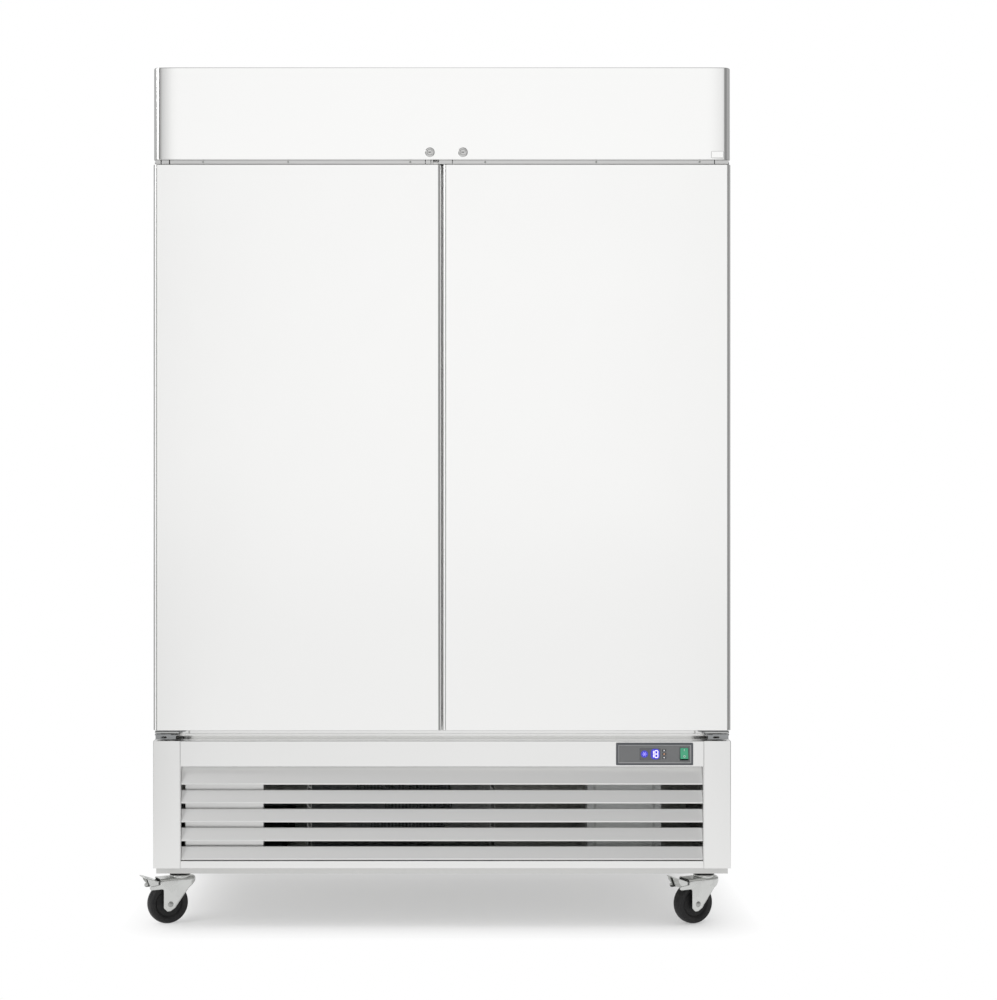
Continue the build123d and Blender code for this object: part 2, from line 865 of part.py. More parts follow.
def power_rocker() -> Part:
    """Rocker of the power switch: dished face, a ridge behind that it turns on, and its top in at rest."""
    y, z, x = rocker_pivot_y(), bezel_z, bezel_centre_x + rocker_offset
    half = rocker_height / 2 - 1.6
    y_face = front_y - bezel_thickness + bezel_recess - rocker_proud
    section = outline(
        [
            (y_face + 1.6, z),
            (y_face, z + half),
            (y_face + rocker_rim, z + half),
            (y, z),
            (y_face + rocker_rim, z - half),
            (y_face, z - half),
        ]
    )
    w = rocker_width / 2
    return Pos(0, y, z) * Rot(-rocker_angle, 0, 0) * Pos(0, -y, -z) * along_x(section, x - w, x + w)


# Base


def base_tray() -> Part:
    """Folded steel tray that carries the cabinet, with its casters bolted below."""
    x, s = half_width, tray_sheet
    tray = block(-x, x, tray_front_y, body_back_y, tray_bottom, tray_top)
    return tray - block(s - x, x - s, tray_front_y + s, body_back_y - s, tray_floor_z, tray_top + 1)


def unit_base() -> Part:
    """Slide-out base pan of the condensing unit, a shallow hat section."""
    x0, x1 = unit_base_left, unit_base_left + unit_base_width
    f, z0, z1 = unit_base_flange, tray_floor_z, unit_floor_z - 1.5
    path = [(x0 - f, z0), (x0, z0), (x0, z1), (x1, z1), (x1, z0), (x1 + f, z0)]
    y0 = front_y + strip_return + 12.0
    return along_y(sheet_outline(path, 1.5), y0, y0 + unit_base_depth)


def rear_grille() -> Part:
    """Vented panel that closes the back of the machine compartment."""
    x = half_width
    y0 = body_back_y - skin
    panel = block(-x, x, y0, body_back_y, tray_top, body_bottom - block_gap)
    zone_w = 2 * x - 2 * vent_border
    slot_w = (zone_w - (vent_columns - 1) * vent_border) / vent_columns
    zone_h = body_bottom - tray_top - vent_border
    pitch = zone_h / vent_slots
    half, high = slot_w / 2, vent_slot_height / 2
    holes = []
    for i in range(vent_columns):
        cx = -zone_w / 2 + slot_w / 2 + i * (slot_w + vent_border)
        for j in range(vent_slots):
            cz = tray_top + vent_border / 2 + pitch * (j + 0.5)
            holes.append(
                block(cx - half, cx + half, y0 - 1, body_back_y + 1, cz - high, cz + high)
            )
    return panel - holes


# Casters, each built with its swivel axis at the origin and its wheel trailing towards -X


def caster_wheel() -> Part:
    """Solid wheel, bored for the axle."""
    half = tread_width / 2
    bore = axle_diameter + 2 * axle_clearance
    x, z = -wheel_trail, wheel_diameter / 2
    return rod_y(x, z, wheel_diameter, -half, half) - rod_y(x, z, bore, -half - 1, half + 1)


def caster_fork(braked: bool) -> Part:
    """Pressed fork with a wrapped leading wall and axle bolt; if braked, arms behind and the pedal's rivet."""
    inside, outside = fork_inside / 2, fork_inside / 2 + fork_sheet
    axle_x, axle_z, r = -wheel_trail, wheel_diameter / 2, fork_tip_radius
    heel, lead = axle_x - r, fork_front + outside

    def channel(half: float, rear: float) -> Face:
        straight = Pos((rear + fork_front) / 2, 0) * Rectangle(fork_front - rear, 2 * half)
        return straight + Pos(fork_front, 0) * Circle(half)

    walls = along_z(channel(outside, -fork_arm_reach), axle_z - r, fork_top)
    walls -= along_z(channel(inside, -fork_arm_reach - 1), 0, fork_top - fork_sheet)
    flat = fork_tip_flat / 2
    arm = [
        (-fork_back, fork_top),
        (-fork_back, fork_arm_top),
        (-fork_arm_reach, fork_arm_top - fork_arm_taper),
        (-fork_arm_reach, fork_arm_bottom),
        (heel, fork_arm_bottom),
    ]
    side_view = outline(
        (arm if braked else [(heel, fork_top)])
        + [
            (heel, axle_z - flat),
            (axle_x - flat, axle_z - r),
            (axle_x, axle_z - r),
            (axle_x + flat + 4, axle_z - flat),
            (fork_front, fork_knee_z),
            (lead, fork_corner_z),
            (lead, fork_top),
        ]
    )
    fork = walls & along_y(side_view, -outside, outside)
    fork += rod_y(axle_x, axle_z, axle_diameter, -inside, inside)
    head = Pos(axle_x, axle_z) * RegularPolygon(axle_head_diameter / 2, 6)
    fork += along_y(head, -outside - axle_head_height, -outside)
    fork += along_y(head, outside, outside + axle_head_height)
    if braked:
        fork += rod_y(-pedal_pivot_u, pedal_pivot_z, pedal_pin_diameter, -inside, inside)
    return fork


def brake_pedal() -> Part:
    """Brake pedal: an eye round its rivet, a shoe over the tyre and a broad foot plate."""
    pu, pz, r = -pedal_pivot_u, pedal_pivot_z, pedal_eye
    root, tip, t = pedal_root_z, pedal_tip_z, pedal_sheet
    back_z = root + (tip - root) * (shoe_back - pedal_foot_start) / (pedal_reach - pedal_foot_start)
    body_view = outline(
        [
            (pu + r, pz - r),
            (pu + r, pz + r),
            (pu - r, pz + r),
            (-pedal_foot_start, root + t),
            (-shoe_back, back_z + t),
            (-shoe_back, back_z),
            (-shoe_u - shoe_length / 2, root - shoe_height - shoe_slope),
            (-shoe_u + shoe_length / 2, root - shoe_height),
        ]
    )
    foot_view = outline(
        [
            (-pedal_foot_start, root),
            (-pedal_foot_start, root + t),
            (-pedal_reach, tip + t),
            (-pedal_reach, tip),
        ]
    )
    narrow, wide = pedal_arm_width / 2, pedal_foot_width / 2
    plan = outline(
        [
            (-pedal_foot_start, wide),
            (pedal_corner - pedal_reach, wide),
            (-pedal_reach, wide - pedal_corner),
            (-pedal_reach, pedal_corner - wide),
            (pedal_corner - pedal_reach, -wide),
            (-pedal_foot_start, -wide),
        ]
    )
    pedal = along_y(body_view, -narrow, narrow)
    pedal += along_y(foot_view, -wide, wide) & along_z(plan, 0, caster_height)
    return pedal - rod_y(pu, pz, pedal_pin_diameter + 2 * pin_clearance, -wide, wide)


def caster_plate() -> Part:
    """Top plate with cut corners, and the closed swivel race under it that the fork turns in."""
    top = caster_height
    low = top - plate_thickness
    plate = block(-plate_length / 2, plate_length / 2, -plate_width / 2, plate_width / 2, low, top)
    plate = chamfer(plate.edges().filter_by(Axis.Z), plate_corner)
    return plate + rod_z(0, 0, race_diameter, fork_top + seat_gap, low)


def caster_places() -> list:
    """Name, turn in degrees and place of each caster."""
    return [
        ("front_left", front_caster_turn, (-caster_x, caster_front_y, 0)),
        ("front_right", front_caster_turn, (caster_x, caster_front_y, 0)),
        ("rear_left", -rear_caster_turn, (-caster_x, caster_rear_y, 0)),
        ("rear_right", 180 + rear_caster_turn, (caster_x, caster_rear_y, 0)),
    ]


# Shelves


def wire_shelves() -> list:
    """Six shelves, each a grid whose bars run from front to back."""
    x0, x1 = shelf_centre_gap, liner_x - shelf_side_gap
    y0 = body_front_y + mullion_depth + shelf_front_gap
    y1 = liner_back_y - shelf_rear_gap
    gap = (x1 - x0 - (shelf_bars + 1) * shelf_wire) / shelf_bars
    shelf = Pos((x0 + x1) / 2, (y0 + y1) / 2) * Rectangle(x1 - x0, y1 - y0)
    for i in range(shelf_bars):
        cx = x0 + shelf_wire + gap / 2 + i * (gap + shelf_wire)
        shelf -= Pos(cx, (y0 + y1) / 2) * Rectangle(gap, y1 - y0 - 2 * shelf_wire)
    grid = extrude(shelf, shelf_thickness)
    return [half for z in shelf_levels for half in both_sides(Pos(0, 0, z) * grid)]


def standard_section() -> Face:
    """Section of a shelf standard: a shallow channel, open towards its wall."""
    w, d, s = standard_width / 2, standard_depth, standard_sheet
    channel = outline([(-w, 0), (-w, d), (w, d), (w, 0)])
    return channel - outline([(s - w, 0), (s - w, d - s), (w - s, d - s), (w - s, 0)])


def shelf_supports() -> list:
    """Slotted standards on the walls and centre post, and the clips that carry the shelves."""
    post_back = body_front_y + mullion_depth
    centre_x = shelf_centre_gap + standard_width / 2
    rear_y = liner_back_y - standard_inset
    front = post_back + standard_inset
    stands = [
        (Location((liner_x, front, 0), (0, 0, 90)), (-1, 0)),
        (Location((liner_x, rear_y, 0), (0, 0, 90)), (-1, 0)),
        (Location((centre_x, liner_back_y, 0), (0, 0, 180)), (0, -1)),
        (Location((centre_x, post_back, 0), (0, 0, 0)), (0, 1)),
    ]
    pieces = []
    for place, (dx, dy) in stands:
        channel = place * along_z(standard_section(), standard_bottom, standard_top)
        pieces += both_sides(channel)
        px, py = place.position.X, place.position.Y
        for level in shelf_levels:
            a, b = standard_depth + seat_gap, standard_depth + clip_reach
            half = clip_width / 2
            foot = outline([(a, level - clip_height), (a, level), (b, level)])
            turn = math.degrees(math.atan2(dy, dx))
            clip = along_y(foot, -half, half)
            pieces += both_sides(Pos(px, py, -seat_gap) * Rot(0, 0, turn) * clip)
    return pieces


# Evaporator


def evaporator_box_front() -> float:
    """Depth of the evaporator housing's front wall."""
    return body_front_y + evaporator_front


def evaporator_box_back() -> float:
    """Depth of the evaporator housing's back edge."""
    return liner_back_y - evaporator_rear_gap


def small_fan_z() -> float:
    """Height of the evaporator fans' axes."""
    return liner_top - evaporator_height / 2 + evaporator_slope / 4


def evaporator_housing() -> Part:
    """Folded cover under the ceiling: front wall with two eight-sided windows, and a sloping drip pan."""
    y0, y1 = evaporator_box_front(), evaporator_box_back()
    z0, top = liner_top - evaporator_height, liner_top
    half = evaporator_width / 2
    path = [(y0, top), (y0, z0 + evaporator_slope), (y1, z0), (y1, z0 + evaporator_rear_wall)]
    shell = along_x(sheet_outline(path, evaporator_sheet), -half, half)
    end = outline([(y0, top), (y0, z0 + evaporator_slope), (y1, z0), (y1, top)])
    for plate in both_sides(along_x(end, half, half + evaporator_sheet)):
        shell += plate
    for x in (-fan_spacing / 2, fan_spacing / 2):
        window = post_y(x, small_fan_z(), small_fan_opening, y0 - 1, y0 + 2 * evaporator_sheet)
        shell -= chamfer(window.edges().filter_by(Axis.Y), small_fan_corner)
    return shell


def finned_block(limits: tuple, count: int, width: float, depth: float) -> Part:
    """Coil with its fins cut in as slots from the front and the back."""
    x0, x1, y0, y1, z0, z1 = limits
    pitch = (x1 - x0) / (count + 1)
    section = Pos((x0 + x1) / 2, (y0 + y1) / 2) * Rectangle(x1 - x0, y1 - y0)
    for i in range(count):
        x = x0 + pitch * (i + 1)
        section -= Pos(x, y0 + depth / 2) * Rectangle(width, depth)
        section -= Pos(x, y1 - depth / 2) * Rectangle(width, depth)
    return along_z(section, z0, z1)


def evaporator_coil() -> Part:
    """Finned evaporator coil, hung from the ceiling behind the fans."""
    y1 = evaporator_box_back() - coil_rear_gap
    half = coil_width / 2
    low = liner_top - coil_height
    limits = (-half, half, y1 - coil_depth, y1, low, liner_top)
    return finned_block(limits, coil_slots, coil_slot_width, coil_slot_depth)


def small_motor_limits() -> tuple:
    """Front and back of the evaporator fan motors."""
    y0 = evaporator_box_front() + small_hub_length + 8.0
    return y0, y0 + small_motor_length


def evaporator_fan_motors() -> list:
    """Two square fan motors, each with a foot up to the ceiling."""
    y0, y1 = small_motor_limits()
    z = small_fan_z()
    motors = []
    for x in (-fan_spacing / 2, fan_spacing / 2):
        half = small_motor_width / 2
        core = block(x - half, x + half, y0, y1, z - half, z + half)
        core = chamfer(core.edges().filter_by(Axis.Y), small_motor_width / 6)
        half, t = fan_foot_width / 2, fan_foot_thickness / 2
        middle = (y0 + y1) / 2
        motors.append(core + block(x - half, x + half, middle - t, middle + t, z, liner_top))
    return motors


def fan_rotor(diameter: float, hub: float, length: float, blades: int) -> Part:
    """Axial fan wheel about Y, its back at the origin: pitched blades on the flats of a many-sided hub."""
    rotor = along_y(RegularPolygon(hub / 2, 2 * blades, major_radius=False, rotation=90), -length, 0)
    root_chord, tip_chord = 0.3 * hub, 0.26 * diameter
    root, tip = 0.4 * hub, diameter / 2
    r, t = root_chord / 2, tip_chord / 2
    shape = outline([(-r, root), (r, root), (t, tip), (-t, tip)])
    blade = along_y(shape, -blade_thickness / 2, blade_thickness / 2)
    for i in range(blades):
        rotor += Rot(0, 360 * i / blades, 0) * Pos(0, -length / 2, 0) * Rot(0, 0, blade_pitch) * blade
    return rotor


def evaporator_fan(x: float) -> Part:
    """One evaporator fan wheel, close in front of its motor."""
    wheel = fan_rotor(small_fan_diameter, small_hub_diameter, small_hub_length, small_blades)
    return Pos(x, small_motor_limits()[0] - seat_gap, small_fan_z()) * wheel


# Condensing unit


def condenser_front() -> float:
    """Depth of the condenser's front face."""
    return front_y + strip_return + condenser_front_gap


def condenser() -> Part:
    """Finned condenser coil that stands behind the louvres."""
    x0, x1 = condenser_x - condenser_width / 2, condenser_x + condenser_width / 2
    y0 = condenser_front()
    z0, z1 = unit_floor_z, unit_floor_z + condenser_height
    y1 = y0 + condenser_depth
    limits = (x0 + condenser_plate, x1 - condenser_plate, y0, y1, z0, z1)
    body = finned_block(limits, condenser_slots, condenser_slot_width, condenser_slot_depth)
    for x in (x0, x1 - condenser_plate):
        body += block(x, x + condenser_plate, y0 - condenser_rim, y1 + condenser_rim, z0, z1 + 8)
    return body


def big_fan_z() -> float:
    """Height of the condenser fan's axis."""
    return unit_floor_z + condenser_height / 2


def hood_limits() -> tuple:
    """Front and back of the fan hood."""
    y0 = condenser_front() + condenser_depth + condenser_rim + seat_gap
    return y0, y0 + hood_depth


def condenser_fan_frame() -> list:
    """Hood behind the condenser with its round opening, and the fan motor on a cross arm."""
    x0, x1 = condenser_x - condenser_width / 2, condenser_x + condenser_width / 2
    y0, y1 = hood_limits()
    z0, z1 = unit_floor_z, unit_floor_z + condenser_height
    s = hood_sheet
    hood = block(x0, x1, y0, y1, z0, z1) - block(x0 + s, x1 - s, y0 - 1, y1 - s, z0 + s, z1 - s)
    z = big_fan_z()
    hood -= rod_y(condenser_x, z, ring_opening, y0, y1 + 1)
    m0 = y1 + hood_motor_gap
    half = big_motor_width / 2
    can = block(condenser_x - half, condenser_x + half, m0, m0 + big_motor_length, z - half, z + half)
    can = chamfer(can.edges().filter_by(Axis.Y), big_motor_width / 5)
    reach = ring_opening / 2 + 14.0
    a, t = motor_arm_width / 2, motor_arm_sheet
    arm = block(condenser_x - reach, condenser_x + reach, m0 + 6, m0 + 6 + t, z - a, z + a)
    foot = block(reach - t, reach, y1 + seat_gap, m0 + 6, z - a, z + a)
    return [hood, can + arm + Pos(condenser_x, 0, 0) * foot + Pos(condenser_x - 2 * reach + t, 0, 0) * foot]


def condenser_fan() -> Part:
    """Condenser fan wheel, close in front of its motor and inside the hood's opening."""
    wheel = fan_rotor(big_fan_diameter, big_hub_diameter, big_hub_length, big_blades)
    return Pos(condenser_x, hood_limits()[1] + hood_motor_gap - seat_gap, big_fan_z()) * wheel


def compressor() -> list:
    """Hermetic compressor: round shell with a terminal cap and a foot plate, on four rubber grommets."""
    z0 = unit_floor_z + grommet_height
    cap_z = z0 + compressor_height - compressor_cap_height
    pot = rod_z(0, 0, compressor_diameter, z0 + compressor_foot_sheet, cap_z)
    cap = post_z(0, 0, compressor_cap, cap_z, z0 + compressor_height)
    pot += chamfer(cap.edges().filter_by(Axis.Z), compressor_cap / 4)
    half = compressor_foot / 2
    foot = block(-half, half, -half, half, z0, z0 + compressor_foot_sheet)
    pot += chamfer(foot.edges().filter_by(Axis.Z), compressor_foot / 8)
    grommet = along_z(RegularPolygon(grommet_diameter / 2, 6), unit_floor_z, z0 - seat_gap)
    g = grommet_spacing / 2
    pieces = [pot] + [Pos(sx * g, sy * g, 0) * grommet for sx in (-1, 1) for sy in (-1, 1)]
    return [Pos(compressor_x, compressor_y, 0) * piece for piece in pieces]


def refrigerant_lines() -> list:
    """Discharge line from the compressor over the hood to the condenser, and the suction line up."""
    top = unit_floor_z + grommet_height + compressor_height + seat_gap
    x, y = compressor_x, compressor_y
    rise = unit_floor_z + condenser_height + line_rise
    y_hot = condenser_front() + condenser_depth / 2
    hot = Polyline((x, y, top), (x, y, rise), (x, y_hot, rise), (x, y_hot, rise - line_rise + seat_gap))
    cold_x = x - compressor_cap / 3
    cold = Polyline((cold_x, y, top), (cold_x, y, body_bottom - seat_gap))
    lines = []
    for route in (hot, cold):
        start = Plane(origin=route @ 0, z_dir=route % 0)
        pipe = start * RegularPolygon(line_diameter / 2, 8, major_radius=False)
        lines.append(sweep(pipe, path=route, transition=Transition.RIGHT))
    return lines


def electrical_box() -> Part:
    """Folded box for the wiring, behind the controller, with a lid that overlaps it and a raised panel."""
    x0, x1 = box_x - box_width / 2, box_x + box_width / 2
    y0 = front_y + strip_return + 12.0
    z0, z1 = tray_floor_z, tray_floor_z + box_height
    y1 = y0 + box_panel_depth
    body = block(x0, x1, y1 + box_lid_step, y0 + box_depth, z0, z1)
    lid = block(x0 - box_sheet, x1 + box_sheet, y1, y1 + box_lid_depth, z0 + box_lid_rise, z1 + box_sheet)
    border = box_panel_border
    panel = block(x0 + border, x1 - border, y0, y1, z0 + box_panel_rise, z1 - border)
    return body + lid + chamfer(panel.faces().sort_by(Axis.Y)[0].edges(), 6.0)


def drain_tray() -> Part:
    """Moulded tray that boils off the defrost water, open above."""
    w, d, s = drain_width / 2, drain_depth / 2, drain_sheet
    tray = block(-w, w, -d, d, 0, drain_height)
    tray = chamfer(tray.edges().filter_by(Axis.Z), drain_corner)
    y = d - drain_corner
    tray -= block(s - w, w - s, -y, y, s, drain_height + 1)
    return Pos(drain_x, drain_y, tray_floor_z) * tray


def build() -> dict:
    """Make every node of the refrigerator."""
    nodes = {
        "side_panels": side_panels(),
        "roof_panel": [roof_panel()],
        "back_panel": [back_panel()],
        "underside_panel": [underside_panel()],
        "wall_insulation": wall_insulation(),
        "inner_liner": [inner_liner()],
        "door_frame": door_frame(),
        "header_panel": [header_panel()],
        "lock_housings": lock_housings(),
        "top_hinge_brackets": top_hinge_brackets(),
        "bottom_hinge_brackets": bottom_hinge_brackets(),
        "lower_posts": lower_posts(),
        "grille_frame": [grille_frame()],
        "louvre_slats": louvre_slats(),
        "controller_bezel": [controller_bezel()],
        "controller_display": [controller_display()],
        "power_rocker": [power_rocker()],
        "base_tray": [base_tray()],
        "unit_base": [unit_base()],
        "rear_grille": [rear_grille()],
        "wire_shelves": wire_shelves(),
        "shelf_supports": shelf_supports(),
        "evaporator_housing": [evaporator_housing()],
        "evaporator_coil": [evaporator_coil()],
        "evaporator_fan_motors": evaporator_fan_motors(),
        "left_evaporator_fan": [evaporator_fan(-fan_spacing / 2)],
        "right_evaporator_fan": [evaporator_fan(fan_spacing / 2)],
        "condenser": [condenser()],
        "condenser_fan_frame": condenser_fan_frame(),
        "condenser_fan": [condenser_fan()],
        "compressor": compressor(),
        "refrigerant_lines": refrigerant_lines(),
        "electrical_box": [electrical_box()],
        "drain_tray": [drain_tray()],
        "caster_plates": [Location(at, (0, 0, 0)) * caster_plate() for _, _, at in caster_places()],
    }
    for name, z in zip(("down_key", "set_key", "up_key"), key_heights()):
        nodes[name] = [controller_key(z)]
    for side in ("left", "right"):
        nodes[f"{side}_lock_plug"] = [lock_plug(side)]
        nodes[f"{side}_door_skin"] = [door_outer_skin(side)]
        nodes[f"{side}_door_core"] = [door_core(side)]
        nodes[f"{side}_door_liner"] = [door_back(side)]
        nodes[f"{side}_door_gasket"] = [door_gasket(side)]
        nodes[f"{side}_door_bushes"] = door_bushes(side)
    for name, turn, at in caster_places():
        place = Location(at, (0, 0, turn))
        braked = name.startswith("front")
        if braked:
            nodes[f"{name}_pedal"] = [place * brake_pedal()]
        nodes[f"{name}_fork"] = [place * caster_fork(braked)]
        nodes[f"{name}_wheel"] = [place * caster_wheel()]
    return nodes


os.makedirs("parts", exist_ok=True)
for node, solids in build().items():
    write(node, solids)
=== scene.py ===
import logging
import math
from dataclasses import dataclass, field
from enum import Enum
from functools import cache
from typing import ClassVar, Iterable, Mapping, Sequence

import bmesh
import bpy
from mathutils import Matrix, Vector
from mathutils.geometry import tessellate_polygon


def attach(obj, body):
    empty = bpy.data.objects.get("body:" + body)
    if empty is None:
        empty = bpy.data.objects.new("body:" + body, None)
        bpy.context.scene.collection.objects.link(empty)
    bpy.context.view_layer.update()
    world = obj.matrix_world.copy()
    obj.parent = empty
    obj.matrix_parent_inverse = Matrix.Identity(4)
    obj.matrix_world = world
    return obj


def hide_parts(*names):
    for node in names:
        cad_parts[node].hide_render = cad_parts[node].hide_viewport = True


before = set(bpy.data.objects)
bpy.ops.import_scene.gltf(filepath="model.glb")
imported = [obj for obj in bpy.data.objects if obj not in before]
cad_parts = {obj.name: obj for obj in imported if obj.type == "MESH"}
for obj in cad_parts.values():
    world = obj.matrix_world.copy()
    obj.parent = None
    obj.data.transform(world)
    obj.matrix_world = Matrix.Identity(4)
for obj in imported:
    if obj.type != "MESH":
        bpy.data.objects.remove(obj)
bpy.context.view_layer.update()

LOG = logging.getLogger("refrigerator")

Point = tuple[float, float]
Spot = tuple[float, float, float]
Sides = tuple[float, float, float, float]
Colour = tuple[float, float, float, float]
Section = Sequence[Point]
Node = bpy.types.Node
Socket = bpy.types.NodeSocket

MM = 0.001
UP: Spot = (0, 0, 1)
DOWN: Spot = (0, 0, -1)
FORWARD: Spot = (0, -1, 0)
BACKWARD: Spot = (0, 1, 0)
QUADRANTS = ((-1, -1), (-1, 1), (1, -1), (1, 1))

# Planes and places that several sub-assemblies share, in millimetres
HALF_WIDTH = 690.0
FRONT = -410.0
STILE = -335.0
CEILING = 1997.0
UNIT_FLOOR = 150.0
HINGE_PIVOT: Point = (677.5, -380.0)
FAN_PLACES: Point = (-190.0, 190.0)
FAN_HEIGHT = 1912.5


def linear(code: str) -> Colour:
    """Turn a hexadecimal screen colour into the linear colour that a shader takes.

    Args:
        code: six hexadecimal digits.

    Returns:
        Red, green, blue and a full alpha.
    """
    parts = [int(code[i : i + 2], 16) / 255 for i in (0, 2, 4)]
    red, green, blue = [p / 12.92 if p <= 0.04045 else ((p + 0.055) / 1.055) ** 2.4 for p in parts]
    return red, green, blue, 1.0


def shade(colour: Colour, factor: float) -> Colour:
    """Return the colour made lighter or darker by a factor."""
    return colour[0] * factor, colour[1] * factor, colour[2] * factor, 1.0


class Axis(Enum):
    """Direction that a section is drawn out along."""

    X = 0
    Y = 1
    Z = 2

    def at(self, a: float, b: float, along: float) -> Spot:
        """Return the point of a section's (a, b) at a distance along this axis."""
        return {Axis.X: (along, a, b), Axis.Y: (a, along, b), Axis.Z: (a, b, along)}[self]


class Side(Enum):
    """Side of the cabinet as someone in front of it sees it, with its sign along X."""

    LEFT = -1
    RIGHT = 1

    def __str__(self) -> str:
        """Return the word that the names of pieces and nodes hold."""
        return self.name.lower()


# Section drawing


def rounded(path: Section, radius: float, steps: int = 5, closed: bool = False) -> list[Point]:
    """Turn the corners of a path into arcs.

    Args:
        path: corner points in order.
        radius: radius of each arc, made smaller where the path is too short for it.
        steps: straight pieces in each arc.
        closed: whether the last point joins the first, whose corner is then rounded as well.

    Returns:
        The points of the rounded path.
    """
    made: list[Point] = []
    count = len(path)
    for i, corner in enumerate(path):
        if not closed and i in (0, count - 1):
            made.append(corner)
            continue
        here = Vector(corner)
        before, after = Vector(path[i - 1]) - here, Vector(path[(i + 1) % count]) - here
        u, v = before.normalized(), after.normalized()
        half = math.acos(max(-1.0, min(1.0, u.dot(v)))) / 2
        if half > math.pi / 2 - 0.01 or half < 0.01:
            made.append(corner)
            continue
        cut = min(radius / math.tan(half), 0.499 * before.length, 0.499 * after.length)
        r = cut * math.tan(half)
        centre = here + (u + v).normalized() * (r / math.sin(half))
        start, end = here + u * cut - centre, here + v * cut - centre
        turn = math.atan2(start.x * end.y - start.y * end.x, start.dot(end))
        for k in range(steps + 1):
            angle = turn * k / steps
            c, s = math.cos(angle), math.sin(angle)
            made.append((centre.x + start.x * c - start.y * s, centre.y + start.x * s + start.y * c))
    return made


def shifted(path: Section, distance: float, closed: bool = False) -> list[Point]:
    """Move a path sideways, to its left for a positive distance.

    Args:
        path: points in order.
        distance: how far the path moves.
        closed: whether the last point joins the first.

    Returns:
        The points of the moved path.
    """
    count = len(path)
    made: list[Point] = []
    for i in range(count):
        here = Vector(path[i])
        before = here - Vector(path[i - 1]) if closed or i > 0 else None
        after = Vector(path[(i + 1) % count]) - here if closed or i < count - 1 else None
        u = (before or after).normalized()
        v = (after or before).normalized()
        mitre = Vector((-u.y - v.y, u.x + v.x))
        mitre = mitre.normalized() if mitre.length > 1e-6 else Vector((-u.y, u.x))
        lean = max(0.3, mitre.dot(Vector((-u.y, u.x))))
        made.append(tuple(here + mitre * (distance / lean)))
    return made


def folded(path: Section, thickness: float, bend: float = 1.5, steps: int = 3) -> list[Point]:
    """Return the closed section of a folded sheet whose outer face is the path, its body on the left."""
    outer = rounded(path, bend, steps)
    return outer + shifted(outer, thickness)[::-1]


def rectangle(x0: float, x1: float, y0: float, y1: float, radius: float = 0.0, steps: int = 5) -> list[Point]:
    """Return a rectangle, its corners rounded where a radius is given."""
    corners = [(x0, y0), (x1, y0), (x1, y1), (x0, y1)]
    return rounded(corners, radius, steps, closed=True) if radius else corners


def circle(x: float, y: float, radius: float, steps: int = 32, start: float = 0.0) -> list[Point]:
    """Return the points of a circle."""
    turns = [start + 2 * math.pi * i / steps for i in range(steps)]
    return [(x + radius * math.cos(t), y + radius * math.sin(t)) for t in turns]


def centred(
    x: float, y: float, half_x: float, half_y: float, radius: float = 0.0, steps: int = 5
) -> list[Point]:
    """Return a rectangle round a centre, from its half lengths."""
    return rectangle(x - half_x, x + half_x, y - half_y, y + half_y, radius, steps)


def nested(
    sides: Sides, axis: Axis, stages: Sequence[Spot], origin: float = 0.0, steps: int = 6
) -> list[list[Spot]]:
    """Draw rounded rectangles one inside another, as the skin of a tray, rim or lid follows them.

    Args:
        sides: left, right, lower and upper side that the insets are measured from.
        axis: direction that the stages follow.
        stages: inset, distance along the axis and corner radius of each rectangle.
        origin: where the distances are measured from.
        steps: straight pieces in each corner.

    Returns:
        One row of points for each stage.
    """
    left, right, lower, upper = sides
    rows = []
    for inset, along, radius in stages:
        loop = rectangle(left + inset, right - inset, lower + inset, upper - inset, radius, steps)
        rows.append([axis.at(a, b, origin + along) for a, b in loop])
    return rows


def slot_outline(x0: float, x1: float, y: float, height: float, steps: int = 5) -> list[Point]:
    """Return a level slot with round ends."""
    return rectangle(x0, x1, y - height / 2, y + height / 2, height / 2 - 0.01, steps)


# Finishes


